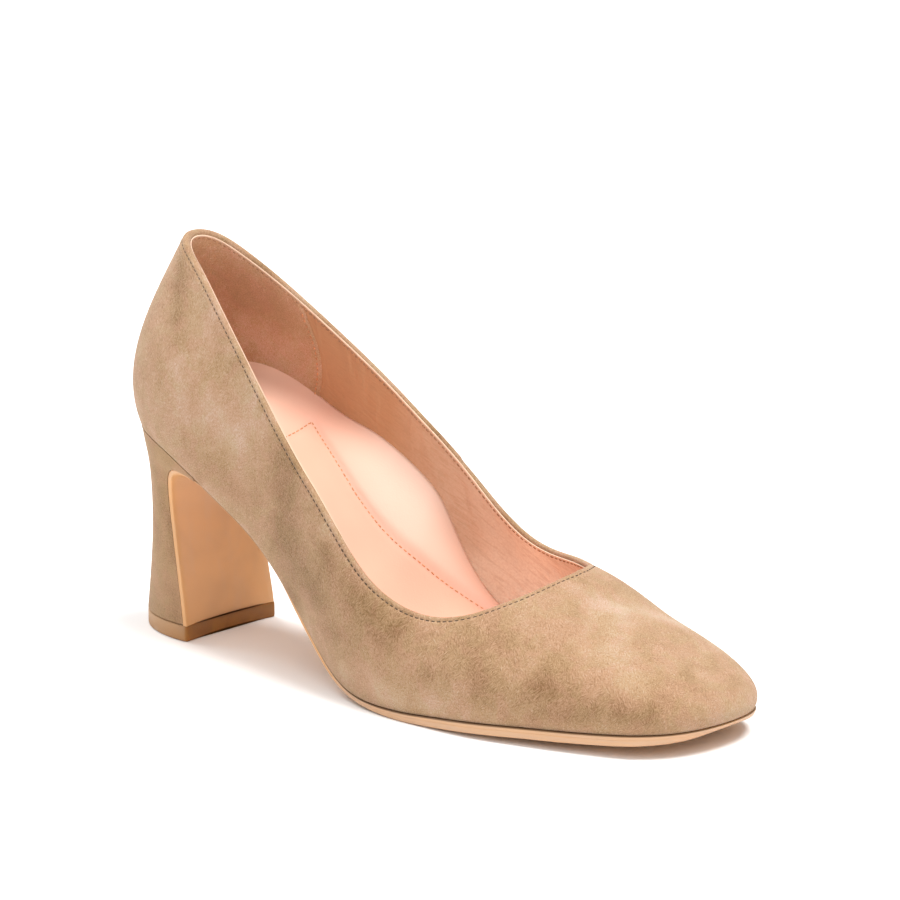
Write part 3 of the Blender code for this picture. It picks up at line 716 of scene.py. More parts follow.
def stitches(path, normal, pitch, length, radius):
    """Spindles laid end to end along a path, each half sunk into the surface."""
    far = way_along(path)
    at = np.arange(pitch / 2, far[-1], pitch)
    centre, up, ahead, behind = [between(place, far, values)
                                 for values, place in ((path, at), (normal, at), (path, at + pitch / 3),
                                                       (path, at - pitch / 3))]
    run = unit(ahead - behind)
    side = unit(np.cross(run, up))
    up = np.cross(side, run)
    along, wide = np.array(SPINDLE).T * [[length], [radius]]
    angle = np.arange(SPINDLE_SIDES) * 2 * np.pi / SPINDLE_SIDES
    points = (centre[:, None, None] + run[:, None, None] * along[:, None, None]
              + side[:, None, None] * (wide[:, None] * np.cos(angle))[..., None]
              + up[:, None, None] * (wide[:, None] * np.sin(angle))[..., None])
    quads, first, last = ring_faces(points[0])
    faces = []
    for one in (np.array(quads), np.array([first[::-1], last])):
        start = np.arange(len(at))[:, None, None] * len(along) * len(angle)
        faces += (one + start).reshape(-1, one.shape[1]).tolist()
    return points, faces


def sew(name, path, normal, look, slot, sizes, share=1.0):
    """Row of stitches along a path as one piece, each a share of the usual length."""
    points, faces = stitches(path, normal, sizes.stitch_pitch / MM, sizes.stitch_length / MM * share,
                             sizes.thread / MM)
    add_piece(name, points, faces, look, closed=True)


class Look:
    """Material with its shader and short ways to add nodes that read Object coordinates."""

    def __init__(self, name):
        self.material = bpy.data.materials.new(name)
        self.material.use_nodes = True
        self.tree = self.material.node_tree
        self.shader = self.tree.nodes["Principled BSDF"]
        self.place = self.node("ShaderNodeTexCoord").outputs["Object"]

    def wire(self, value, socket):
        """Link or set an input."""
        if hasattr(value, "links"):
            self.tree.links.new(value, socket)
        else:
            socket.default_value = value

    def node(self, kind, inputs=(), **settings):
        """New node with its plain settings and its inputs, each set or linked."""
        made = self.tree.nodes.new(kind)
        for key, value in settings.items():
            setattr(made, key, value)
        for key, value in dict(inputs).items():
            self.wire(value, made.inputs[key])
        return made

    def set(self, **values):
        """Inputs of the shader by name, with _ for a space."""
        for key, value in values.items():
            self.wire(value, self.shader.inputs[key.replace("_", " ")])

    def turned(self, scale, turn=(0.0, 0.0, 0.0), kind="POINT"):
        """Object coordinates turned and stretched, or with kind TEXTURE turned back and divided."""
        return self.node("ShaderNodeMapping", {"Vector": self.place, "Scale": scale, "Rotation": turn},
                         vector_type=kind).outputs["Vector"]

    def noise(self, scale, detail=2.0, distortion=0.0, place=None):
        """Noise, 0 to 1."""
        inputs = {"Vector": place or self.place, "Scale": scale, "Detail": detail,
                  "Distortion": distortion}
        return self.node("ShaderNodeTexNoise", inputs).outputs["Fac"]

    def mark(self, name):
        """Value stored on the points of the mesh."""
        return self.node("ShaderNodeAttribute", attribute_name=name).outputs["Fac"]

    def span(self, value, low, high, to_low=0.0, to_high=1.0, kind="SMOOTHSTEP"):
        """Value taken from one range to another and held at its ends."""
        inputs = {"Value": value, "From Min": low, "From Max": high, "To Min": to_low, "To Max": to_high}
        return self.node("ShaderNodeMapRange", inputs, interpolation_type=kind).outputs["Result"]

    def sum(self, first, second, operation="ADD"):
        """Two values added, or joined by another operation."""
        return self.node("ShaderNodeMath", {0: first, 1: second}, operation=operation).outputs[0]

    def mixed(self, share, first, second):
        """Two values mixed."""
        return self.node("ShaderNodeMix", {0: share, 2: first, 3: second}, data_type="FLOAT").outputs[0]

    def blend(self, share, first, second, kind="MIX"):
        """Two colours mixed."""
        first, second = [colour if hasattr(colour, "links") else (*colour, 1.0)
                         for colour in (first, second)]
        return self.node("ShaderNodeMix", {0: share, 6: first, 7: second}, data_type="RGBA",
                         blend_type=kind).outputs[2]

    def relief(self, height, distance, strength, under=None):
        """Bump of a height field, on top of another bump where there is one."""
        inputs = {"Height": height, "Distance": distance, "Strength": strength}
        if under:
            inputs["Normal"] = under
        return self.node("ShaderNodeBump", inputs).outputs["Normal"]


def shade(colour, *more):
    """Colour made darker or lighter, by one factor or by one for each of its parts, up to 1."""
    return tuple(min(part * factor, 1.0) for part, factor in zip(colour, more * 3))


def suede_look(name, mean, dark, light, brush=1.0):
    """Suede: tone from strokes of brushed nap and of painted shade and highlights, cloudy patches, short
    crossing fibres and a fine tooth, then dark, mean and light colour by tone, with olive and warm
    casts;
    brush sets how uneven it is."""
    look = Look(name)
    patch = look.noise(34, 1.5, 0.5, look.turned((1.0, 1.0, 0.6), (0.5, 0.45, 0.0)))
    small = look.noise(120, 2, 0.8)
    fibres = [look.noise(1.0, 2, 0.5, look.turned(FIBRE, turn, "TEXTURE")) for turn in FIBRE_TURNS]
    hatch = look.mixed(look.span(look.noise(300, 1), 0.45, 0.55), *fibres)
    tooth = look.noise(2600, 2)
    # Stroke mark: brushed nap, and on the upper also painted shade on the lateral waist and painted
    # highlights on the vamp.
    tone = look.sum(look.mark("nap_and_painted_light"), 0.6 * brush, "MULTIPLY")
    for value, share in ((patch, 0.8 * brush), (small, 0.8 * brush), (hatch, 2.2 * brush), (tooth, 0.8)):
        tone = look.sum(tone, look.sum(look.sum(value, 0.5, "SUBTRACT"), share, "MULTIPLY"))
    colour = look.blend(look.span(tone, 0.0, 1.0, kind="LINEAR"), mean, light)
    colour = look.blend(look.span(tone, -1.0, 0.0, 1.0, 0.0, "LINEAR"), colour, dark)
    cast = look.blend(look.span(look.noise(150, 2, 0.7), 0.36, 0.64), OLIVE_CAST, WARM_CAST)
    colour = look.blend(1.0, colour, cast, "MULTIPLY")
    bump = look.relief(look.sum(hatch, look.sum(tooth, 0.35, "MULTIPLY")), 0.0005, 0.6)
    look.set(Base_Color=colour, Roughness=0.95, Sheen_Weight=0.22, Sheen_Roughness=0.45,
             Sheen_Tint=(1.0, 0.9, 0.8, 1.0), Specular_IOR_Level=0.15, Normal=bump)
    return look.material


def lining_look(name, mean, front):
    """Lining leather: paler to the front as painted light, soft cloudy colour, fine grain, wrinkles with
    painted shade in their troughs, and slack creases.
    """
    look = Look(name)
    cloud = look.noise(28, 3, 0.4)
    crease = look.noise(26, 2, 0.6, look.turned((4.0, 1.0, 1.2), (0.0, 0.6, 0.0)))
    wrinkle = look.noise(1.0, 2, 0.8, look.turned(WRINKLE, WRINKLE_TURN, "TEXTURE"))
    grain = look.noise(1500, 3)
    # Painted light: the lining is made paler towards the front.
    colour = look.blend(look.mark("front"), mean, front)
    # Wrinkle troughs made a little darker: painted shade; cloud and grain darken by tone.
    for value, low, high, share in ((wrinkle, 0.36, 0.5, 0.2), (cloud, 0.35, 0.7, 0.35),
                                    (grain, 0.35, 0.65, 0.16)):
        colour = look.blend(look.span(value, low, high, share, 0.0), colour, shade(mean, 0.8))
    bump = look.relief(look.span(crease, 0.4, 0.66), 0.0009, 0.45)
    bump = look.relief(grain, 0.0001, 0.5, look.relief(wrinkle, 0.0005, 0.5, bump))
    look.set(Base_Color=colour, Roughness=look.span(cloud, 0.3, 0.7, 0.5, 0.64), Coat_Weight=0.04,
             Specular_IOR_Level=0.35, Normal=bump)
    return look.material


def footbed_look(name, mean, pale):
    """Footbed leather: satin, paler at heel and arch partly by painted light, with a painted highlight
    on the arch, a fine grain and faint pressure marks.
    """
    look = Look(name)
    cloud = look.noise(24, 2, 0.3)
    grain = look.noise(1900, 3)
    soft = look.noise(90, 2, 0.5)
    # Paler at the heel and on the arch cushion: partly tone, partly painted light, a painted highlight
    # on the cushion.
    mean = look.blend(look.mark("pale"), mean, pale)
    colour = look.blend(look.span(cloud, 0.35, 0.7, 0.12, 0.0), mean, (0.0, 0.0, 0.0))
    bump = look.relief(grain, 0.00008, 0.5, look.relief(soft, 0.0005, 0.25))
    look.set(Base_Color=colour, Roughness=look.span(soft, 0.3, 0.7, 0.34, 0.46), Coat_Weight=0.55,
             Coat_Roughness=0.3, Specular_IOR_Level=0.45, Normal=bump)
    return look.material


def sole_look(name, mean, edge):
    """Sole leather, smooth on its faces; a paler trimmed edge of two bands under a dark line of painted
    shade where the upper meets it.
    """
    look = Look(name)
    cloud = look.noise(30, 3, 0.6)
    streak = look.noise(40, 3, 0.3, look.turned((1.0, 5.0, 1.6)))
    grain = look.noise(1700, 2)
    deep = shade(mean, 0.8)
    colour = look.blend(look.span(cloud, 0.32, 0.7), deep, mean)
    colour = look.blend(look.span(streak, 0.42, 0.7, 0.0, 0.18), colour, edge)
    line = look.noise(260, 3, 0.2, look.turned((0.3, 0.3, 5.0)))
    trim = look.blend(look.span(line, 0.35, 0.65, 0.28, 0.0), edge, mean)
    band = look.mark("band")
    groove = look.sum(look.span(band, 0.28, 0.34), look.span(band, 0.34, 0.40, 1.0, 0.0), "MULTIPLY")
    trim = look.blend(look.sum(groove, 0.3, "MULTIPLY"), trim, deep)
    # Dark line of painted shade along the top of the edge, where sole and upper meet.
    trim = look.blend(look.span(band, 0.03, 0.11, 0.92, 0.0), trim, shade(mean, 0.22))
    colour = look.blend(look.span(look.mark("edge"), 0.25, 0.75), colour, trim)
    look.set(Base_Color=colour, Roughness=look.span(cloud, 0.3, 0.7, 0.38, 0.52), Coat_Weight=0.06,
             Coat_Roughness=0.3, Specular_IOR_Level=0.4, Normal=look.relief(grain, 0.00008, 0.4))
    return look.material


def rubber_look(name, mean):
    """Moulded rubber with faint mottling, back faces made paler as painted light, and a scuffed lower
    edge.
    """
    look = Look(name)
    cloud = look.noise(140, 3, 0.6)
    grain = look.noise(1300, 2)
    pale = shade(mean, 1.6)
    colour = look.blend(look.span(cloud, 0.35, 0.75, 0.0, 0.4), mean, pale)
    # Painted light: faces towards the back made paler than the front face.
    colour = look.blend(look.sum(look.mark("trim"), 0.75, "MULTIPLY"), colour, shade(pale, *RUBBER_PAINTED_LIGHT))
    colour = look.blend(look.sum(look.mark("wear"), look.span(cloud, 0.4, 0.6, 0.1, 0.5), "MULTIPLY"),
                        colour, pale)
    look.set(Base_Color=colour, Roughness=look.span(cloud, 0.3, 0.7, 0.42, 0.58),
             Specular_IOR_Level=0.25, Normal=look.relief(grain, 0.0001, 0.4))
    return look.material


def thread_look(name, mean):
    """Twisted sewing thread."""
    look = Look(name)
    twist = look.noise(2400, 1, 0.4)
    colour = look.blend(look.span(twist, 0.35, 0.65), shade(mean, 0.6), mean)
    look.set(Base_Color=colour, Roughness=0.7, Specular_IOR_Level=0.25,
             Normal=look.relief(twist, 0.0001, 0.6))
    return look.material


def upper_surface(ribs, line, sizes):
    """Suede skin: ribs from a tuck under the feather line to the topline, dented along the stitch
    row and the side seam by bell curves, then a half round carried round the topline."""
    run = np.linspace(0, 1, SKIN_STEPS)
    t = (1 - (1 - run) ** SKIN_CROWD) * ribs["kept"][:, None]
    points = wall_points(ribs, t)
    normal = wall_normals(ribs, t)
    far = nearest(points, line["point"])
    groove = bump_shape(far - seam_drop(ribs["place"], sizes)[:, None], GROOVE_WIDTH)
    dent = (sizes.seam_depth / MM * groove - bell(far, SWELLING)) * ramp(far, DENT_FADE)
    across = (ribs["place"][:, None] - SEAM_PLACE + SEAM_SLANT * (1 - run)) * ROW_LENGTH
    dent = dent + bell(across, SIDE_GROOVE) - bell(across, SIDE_RIDGE)
    points = points - normal * dent[..., None]
    out = np.column_stack([ribs["out"], 0 * ribs["kept"]])
    tuck = [ribs["foot"] - out * inwards - np.array([0, 0, low]) for inwards, low in TUCK]
    points = np.concatenate([np.stack(tuck, 1), points], 1)
    radius = fold_radius(line["place"], sizes)[:, None]
    angle = np.linspace(0, np.pi, FOLD_STEPS)
    beyond = (SEAM_PLACE - line["place"])[:, None] * ROW_LENGTH
    depth, start, end = NOTCH_STEP
    notch = bell(beyond, NOTCH) + depth * ramp(beyond, start) * ramp(end - beyond, end)
    notch = notch * np.sin(angle)
    outward = radius * (np.cos(angle) - 1) - notch * (angle < np.pi / 2)
    over = radius * np.sin(angle) - notch
    fold = edge_strip(line, np.concatenate([outward, -2 * radius], 1),
                      np.concatenate([over, np.full_like(radius, -FOLD_TAIL)], 1))
    faces = grid_faces(points) + grid_faces(fold, points.shape[0] * points.shape[1], around=True)
    return np.concatenate([points.reshape(-1, 3), fold.reshape(-1, 3)]), faces


def lining_surface(ribs, sizes):
    """Inside of the upper: the outside moved in along its normals by the wall's thickness."""
    run = np.linspace(0, 1, LINING_STEPS)
    t = (1 - run ** LINING_CROWD * LINING_COVER) * ribs["kept"][:, None]
    normal = np.concatenate([wall_normals(ribs, t[:, :1]), wall_normals(ribs, t)[:, 1:]], 1)
    points = wall_points(ribs, t) - normal * wall_depth(ribs["place"], sizes)[:, None, None]
    return points, grid_faces(points)


def grip_surface(ribs, sizes):
    """Heel grip: the lining moved in by the grip's thickness between two front edges that follow a
    table of places, bent back to the lining at its border."""
    share = np.linspace(*GRIP_SPAN, GRIP_STEPS)
    wide = np.linspace(-1, 1, GRIP_ROWS)
    place = wide[:, None] * smooth_column(GRIP, 1, share)
    place[[1, -2]] = place[[0, -1]] * GRIP_BEND
    depth = wall_depth(place, sizes)
    depth[1:-1] += sizes.grip / MM * np.maximum(ramp(1 - share, GRIP_THIN[0]), GRIP_THIN[1])
    depth[[0, -1]] -= GRIP_SINK
    made = ribs_at(ribs, place.ravel())
    t = (np.tile(share, GRIP_ROWS) * made["kept"])[:, None]
    points = wall_points(made, t)[:, 0] - wall_normals(made, t)[:, 0] * depth.reshape(-1, 1)
    return points, grid_faces(depth)


def grip_seam(ribs, sizes, sign):
    """Path of the stitches just behind one front edge of the heel grip, and its normals."""
    share = np.linspace(*GRIP_SEAM_SPAN, PATH_STEPS)
    made = ribs_at(ribs, sign * (smooth_column(GRIP, 1, share) - GRIP_SEAM_IN))
    t = (share * made["kept"])[:, None]
    normal = wall_normals(made, t)[:, 0]
    depth = wall_depth(made["place"], sizes)[:, None] + sizes.grip / MM
    return wall_points(made, t)[:, 0] - normal * (depth + GRIP_SEAM_UP), -normal


def lining_edge_strip(line, sizes):
    """Cut edge of the lining: a thin half round standing inside the suede fold."""
    outer = 2 * fold_radius(line["place"], sizes)[:, None] + LINING_EDGE_GAP
    inner = wall_depth(line["place"], sizes)[:, None]
    radius = (inner - outer) / 2
    angle = np.linspace(0, np.pi, LINING_EDGE_STEPS)
    high = np.full_like(inner, LINING_EDGE_RISE)
    outward = np.concatenate([-outer, radius * np.cos(angle) - outer - radius, -inner], 1)
    over = np.concatenate([-2 * high, high + radius * np.sin(angle), 0 * high], 1)
    strip = edge_strip(line, outward, over)
    return strip, grid_faces(strip, around=True)


def at_height(inner, level):
    """Points of the inside of the wall at the given heights, read between the steps of each rib."""
    below = (inner[:, :, None, 2] < level[:, None]).sum(1) - 1
    below = np.clip(below, 0, inner.shape[1] - 2)[..., None]
    low = np.take_along_axis(inner, below, 1)
    high = np.take_along_axis(inner, below + 1, 1)
    share = np.clip((level - low[..., 2]) / np.maximum(high[..., 2] - low[..., 2], 1e-6), 0, 1)
    point = low + (high - low) * share[..., None]
    point[..., 2] = level
    return point


class Footbed:
    """Top of the footbed as a function of row along the shoe and share across it."""

    def __init__(self, ribs, sizes):
        centre = len(ribs["place"]) // 2
        t = np.linspace(WALL_START, 1, WALL_STEPS) * ribs["kept"][:, None]
        depth = wall_depth(ribs["place"], sizes)[:, None, None] + BED_CLEAR
        inner = wall_points(ribs, t) - wall_normals(ribs, t) * depth
        x = ribs["foot"][centre:, 0]
        self.low, self.mid, self.high = [smooth_column(BED, k, x)[1:-1, None] for k in (1, 2, 3)]
        self.lateral = self.edge(inner[centre:], ribs["foot"][centre:], self.low)
        self.medial = self.edge(inner[centre::-1], ribs["foot"][centre::-1], self.high)
        self.floor = [ribs["foot"][centre:][1:-1, None, 2], ribs["foot"][centre::-1][1:-1, None, 2]]

    def edge(self, inner, foot, high):
        """Edge of the footbed on the wall and points down the wall below it."""
        return at_height(inner[1:-1], foot[1:-1, None, 2] + np.maximum(high - BED_DROPS, BED_LEAST))

    def flat(self, cross):
        """Plan of the footbed: straight across from the lateral to the medial edge."""
        mix = cross[..., None]
        return (self.lateral[:, :1] * (1 - mix) + self.medial[:, :1] * mix)[..., :2]

    def points(self, cross):
        """Height: the middle, a square rise to the lateral edge, a steeper one to the medial edge,
        sewn lines pressed in by bell curves and a pillow swelling outside each of them."""
        plan = self.flat(cross)
        to_lateral, to_medial = BED_POWERS
        rise = self.mid + (self.low - self.mid) * ramp(BED_MIDDLE - cross, BED_MIDDLE) ** to_lateral
        rise = rise + (self.high - self.mid) * ramp(cross - BED_MIDDLE, 1 - BED_MIDDLE) ** to_medial
        floor = self.floor[0] * (1 - cross) + self.floor[1] * cross
        x, y = plan[..., 0], plan[..., 1]
        shown = ramp(x - BED_BAR_X) * ramp(BED_LINE_END - x, BED_LINE_FADE)
        for number, sign, side in ((1, 1, self.medial), (2, -1, self.lateral)):
            sewn = smooth_column(BED_LINE, number, x)
            away = (y - sewn) * sign
            rise = rise - CHANNEL_DEPTH * shown * bump_shape(away, CHANNEL_WIDTH)
            width = np.maximum(np.abs(side[:, :1, 1] - sewn), 1)
            swell = np.sin(np.pi * ramp(away, width) ** PILLOW_LEAN)
            rise = rise + PILLOWS[number - 1] * swell * bump_shape(x - PILLOW_X, PILLOW_LENGTH)
        bar = (y < column(BED_LINE, 1, x)) & (y > column(BED_LINE, 2, x))
        rise = rise - CHANNEL_DEPTH * bar * bump_shape(x - BED_BAR_X, CHANNEL_WIDTH)
        return np.concatenate([plan, (floor + rise)[..., None]], -1)

    def share_at(self, y, rows=slice(None)):
        """Share across the footbed at which y lies, on all rows or on one."""
        lateral, medial = self.lateral[rows, :1, 1], self.medial[rows, :1, 1]
        return (y - lateral) / (medial - lateral)

    def across(self, number):
        """Share across the footbed at which one sewn line lies on every row."""
        cross = np.full((len(self.low), 1), 0.5)
        for _ in range(LINE_ROUNDS):
            x = self.flat(cross)[..., 0]
            cross = np.clip(self.share_at(smooth_column(BED_LINE, number, x)), *LINE_LIMITS)
        return cross

    def surface(self):
        """Grid from down the lateral wall over the top and down the medial wall."""
        cross = np.tile(np.linspace(0, 1, BED_COLUMNS + 1), (len(self.low), 1))
        points = np.concatenate([self.lateral[:, :0:-1], self.points(cross), self.medial[:, 1:]], 1)
        return points, grid_faces(points)

    def sewn_line(self, number):
        """Path of one sewn line and its surface normals."""
        cross = self.across(number)
        path = self.points(cross)[:, 0]
        beside = self.points(cross + LINE_BESIDE)[:, 0] - self.points(cross - LINE_BESIDE)[:, 0]
        keep = (path[:, 0] > BED_BAR_X) & (path[:, 0] < BED_LINE_END)
        normal = np.cross(np.gradient(path, axis=0), beside)
        return path[keep], unit(normal)[keep]

    def sewn_bar(self):
        """Path of the bar between the sewn lines and its surface normals."""
        y = np.linspace(column(BED_LINE, 2, BED_BAR_X), column(BED_LINE, 1, BED_BAR_X), PATH_STEPS)
        near = np.argmin(np.abs(self.flat(np.full((len(self.low), 1), 0.5))[:, 0, 0] - BED_BAR_X))
        cross = self.share_at(y, near)
        path = self.points(np.tile(cross, (len(self.low), 1)))[near]
        return path, np.tile(BAR_NORMAL, (len(path), 1))


def bed_pale_and_painted_light(points):
    """Paleness of the footbed, partly its tone and partly painted light: rising to the heel, and a
    painted highlight on the arch cushion by a bell curve along it.
    """
    x, y = points[..., 0], points[..., 1]
    middle, length = PAINTED_HIGHLIGHT_CUSHION
    cushion = ramp(y - smooth_column(BED_LINE, 1, x), CUSHION_HIGHLIGHT_EDGE) * bump_shape(x - middle, length)
    return np.maximum(ramp(HEEL_PALE_AND_PAINTED_LIGHT[0] - x, HEEL_PALE_AND_PAINTED_LIGHT[1]), cushion)


def breast_points(share, offset):
    """Front of the heel in side view, moved by offset towards the toe, and half widths."""
    control = np.array(BREAST)
    curve = bezier(*[c[None] for c in control], share[:, None])
    ahead = unit(bezier_slope(*[c[None] for c in control], share[:, None]))
    normal = np.stack([-ahead[:, 1], ahead[:, 0]], 1)
    return curve + normal * np.asarray(offset).reshape(-1, 1), smooth_column(FLAP, 1, share), normal


def hollow(share, y, half_width):
    """How far the breast is scooped back at y, fading out where it bends into the waist."""
    fade = ramp(share - HOLLOW_START, HOLLOW_FADE)
    return HOLLOW * fade * (1 - ramp(np.abs(y), half_width) ** 2)


def outsole_surface(sides):
    """Rings across the sole from the toe to the waist and down over the breast: top, edge profile,
    bottom and edge profile again, bevelled under the toe where the edge faces forward and undercut at
    the waist, with marks for the strength of the trim and the place down the edge."""
    keep = np.nonzero(sides[0]["foot"][:, 0] > BREAST[0][0] + 1)[0][::-1]
    edges, outs = [], []
    for side in sides:
        foot, out = side["foot"][keep], side["out"][keep]
        stand = smooth_column(WELT, 1, foot[:, 0])[:, None]
        edges.append(np.column_stack([foot[:, :2] + out * stand, foot[:, 2] - GAP]))
        outs.append(np.column_stack([out, 0 * out[:, 0]]))
    run = np.gradient((edges[0] + edges[1]) / 2, axis=0)
    down = unit(np.stack([-run[:, 2], 0 * run[:, 0], run[:, 0]], 1))
    x, _, high = sides[0]["foot"][keep].T
    thick = np.minimum(np.minimum(smooth_column(WELT, 2, x), TREAD_THICK), high - GAP)
    share = np.linspace(0, 1, FLAP_STEPS)
    line, half, normal = breast_points(share, np.zeros(FLAP_STEPS))
    zero = 0 * share
    rise = (edges[1][-1, 2] - edges[0][-1, 2]) * ramp(FLAP_JOIN - share, FLAP_JOIN) ** 2
    for number, sign, more in ((0, -1, 0), (1, 1, rise)):
        flap = np.stack([line[:, 0], half * sign, line[:, 1] + more], 1)
        edges[number] = np.concatenate([edges[number], flap])
        outs[number] = np.concatenate([outs[number], np.stack([zero, zero + sign, zero], 1)])
    down = np.concatenate([down, np.stack([normal[:, 0], zero, normal[:, 1]], 1)])
    thick = np.concatenate([thick, smooth_column(FLAP, 2, share)])
    level = np.linspace(0, 1, EDGE_STEPS)
    fine = 1 - ramp(x - FINE_X, FINE_LENGTH)
    fine = np.concatenate([fine ** 2 * (3 - 2 * fine), 1 - ramp(share, FINE_FLAP)])[:, None]
    depth, start, power = UNDERCUT
    bulge = column(EDGE, 1, level) * (thick / EDGE_THICK)[:, None]
    bulge = bulge - depth * fine * np.maximum(level - start, 0) ** power
    depth, turn, power = TOE_BEVEL
    walls = []
    for edge, out in zip(edges, outs):
        bevel = depth * ramp(2 * out[:, :1] - 1) ** turn * level ** power
        walls.append(edge[:, None] + out[:, None] * (bulge - bevel)[..., None]
                     + (down * thick[:, None])[:, None] * level[:, None])
    cross = np.linspace(0, 1, SOLE_COLUMNS)[1:-1, None]
    top, low = [walls[0][:, k, None] * (1 - cross) + walls[1][:, k, None] * cross for k in (0, -1)]
    rings = np.concatenate([walls[0][:, ::-1], top, walls[1], low[:, ::-1]], 1)
    flap_share = np.concatenate([0 * x, share])[:, None]
    width = np.concatenate([np.full(len(keep), 1e3), half])[:, None]
    rings[..., 0] -= hollow(flap_share, rings[..., 1], width)
    rings[-1, :, 2] -= FLAP_TAIL
    blank = np.zeros(len(cross))
    fore = ramp(x - TRIM_X, TRIM_LENGTH)
    # On the flap the pale trim is partly a painted highlight on its rounded sides.
    fade = (WAIST_TRIM - FLAP_TRIM_AND_PAINTED_HIGHLIGHT) * ramp(share - FLAP_TURN, FLAP_FADE)
    trim = np.concatenate([WAIST_TRIM + (1 - WAIST_TRIM) * fore, WAIST_TRIM - fade])
    place = np.concatenate([level[::-1], blank, level, blank])
    lower = np.concatenate([fore, ramp(share, FINE_FLAP)])[:, None]
    edge = np.concatenate([np.ones(EDGE_STEPS), blank] * 2) * np.where(place < UPPER_BAND, 1, lower)
    crowd = np.concatenate([WAIST_BAND + (1 - WAIST_BAND) * fore, zero + WAIST_BAND])
    band = np.where(flap_share > FLAP_TURN, FLAP_BAND, place * crowd[:, None])
    quads, _, end = ring_faces(rings)
    return rings.reshape(-1, 3), quads + [end], {"edge": edge * trim[:, None], "band": band}


def heel_surface(sides):
    """Sections from the top lift to the seat, each half an ellipse closed by the breast."""
    rise = np.linspace(0, 1, HEEL_STEPS)
    share = 1 - rise * (1 - HEEL_TIP)
    front, half, _ = breast_points(share, np.full(HEEL_STEPS, -HEEL_CLEAR))
    seat_back = feather_height(sides[0]["foot"][:1, 0])[0] - GAP
    back_z = HEEL_FOOT + (seat_back - HEEL_FOOT) * (1 - (1 - rise) ** HEEL_CROWD)
    back_x = spline(*np.array(HEEL_BACK).T, back_z)[0][:, 0]
    front = np.concatenate([front, front[-1:]])
    front[-1, 1] = feather_height(front[-1:, 0])[0] - GAP
    half, back_z, back_x, rise, share = [np.append(values, values[-1])[:, None]
                                         for values in (half, back_z, back_x, rise, share)]
    angle = np.linspace(-np.pi / 2, np.pi / 2, 2 * HEEL_TURNS + 1)
    level = 1 - np.cos(angle)
    x = back_x + (front[:, :1] - back_x) * level
    blend = rise ** SEAT_POWER
    lateral, medial = [np.interp(x[-1], side["foot"][:, 0], side["foot"][:, 1]) for side in sides]
    seam = np.where(angle < 0, lateral, medial)
    seam[HEEL_TURNS] = 0
    y = (1 - blend) * half * np.sin(angle) + blend * seam
    straight = back_z + (front[:, 1:] - back_z) * level
    seat = feather_height(x[-1], (angle > 0).astype(float)) - GAP
    ring = np.stack([x, y, straight + blend * (seat - straight[-1])], -1)
    ring[-2, :, 2] = np.minimum(ring[-2, :, 2], ring[-1, :, 2] - SEAT_STEP)
    cross = np.linspace(1, -1, BREAST_COLUMNS)[1:-1]
    share_y = ((1 - cross) / 2)[:, None]
    breast = ring[:, -1][:, None] * (1 - share_y) + ring[:, 0][:, None] * share_y
    breast[:, :, 0] -= hollow(share, half * cross, half)
    rings = np.concatenate([ring, breast], 1)
    faces, bottom, top = ring_faces(rings)
    turns = 2 * HEEL_TURNS
    faces.append(bottom)
    faces += [[top[k], top[k + 1], top[turns - k - 1], top[turns - k]] for k in range(HEEL_TURNS - 1)]
    faces.append(top[HEEL_TURNS - 1:HEEL_TURNS + 2])
    faces.append(top[:1] + top[turns:][::-1])
    return rings.reshape(-1, 3), faces


def rounded(outline, radius):
    """Closed outline read at even steps and smoothed by a bell curve, so that its corners are round."""
    closed = np.concatenate([outline, outline[:1]])
    far = way_along(closed)
    at = np.linspace(0, far[-1], OUTLINE_STEPS, endpoint=False)
    even = between(at, far, closed)
    away = np.abs(at[:, None] - at)
    weight = bump_shape(np.minimum(away, far[-1] - away), radius)
    return weight @ even / weight.sum(1)[:, None]


def lift_surface():
    """Half ellipse with a scooped front, carried up an edge profile with rounded corners."""
    angle = np.linspace(-np.pi / 2, np.pi / 2, LIFT_TURNS)
    x = LIFT_BACK + (LIFT_FRONT - LIFT_BACK) * (1 - np.cos(angle))
    cross = np.linspace(1, -1, LIFT_COLUMNS)[1:-1]
    front = LIFT_FRONT - HOLLOW * (1 - cross ** 2)
    outline = np.concatenate([np.stack([x, LIFT_HALF_WIDTH * np.sin(angle)], 1),
                              np.stack([front, LIFT_HALF_WIDTH * cross], 1)])
    outline = rounded(outline, LIFT_CORNER)
    run = unit(np.roll(outline, -1, axis=0) - np.roll(outline, 1, axis=0))
    out = np.stack([-run[:, 1], run[:, 0]], 1)
    inset, high = np.array(LIFT_EDGE).T
    plan = outline[None] - out[None] * inset[:, None, None]
    rings = np.concatenate([plan, np.broadcast_to(high[:, None, None], plan.shape[:2] + (1,))], -1)
    quads, bottom, top = ring_faces(rings)
    wear = ramp(WEAR_HEIGHT - rings[..., 2], WEAR_HEIGHT)
    # Painted light: mark strongest on faces towards the back and none on the front face.
    beside, change = LIFT_PAINTED_LIGHT
    trim = np.tile(ramp(beside - change * out[:, 0]), (len(rings), 1))
    return rings.reshape(-1, 3), quads + [bottom, top], {"wear": wear, "trim": trim}


class PUMP_OT_upper(bpy.types.Operator):
    """Suede skin of the upper with its folded topline"""

    bl_idname = "pump.upper"
    bl_label = "Upper"

    def execute(self, context):
        sizes, colours = context.scene.pump_sizes, context.scene.pump_colours
        ribs = join_sides(rib_sides())
        look = suede_look("upper_suede", colours.suede, colours.suede_dark, colours.suede_light)
        points, faces = upper_surface(ribs, topline(ribs), sizes)
        # Strokes of nap, painted shade on the lateral waist and painted highlights on the vamp.
        piece = add_piece("upper_suede", points, faces, look,
                          marks={"nap_and_painted_light": stroke_tone(points, NAP_AND_PAINTED_LIGHT)})
        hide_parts("upper")
        return {"FINISHED"}


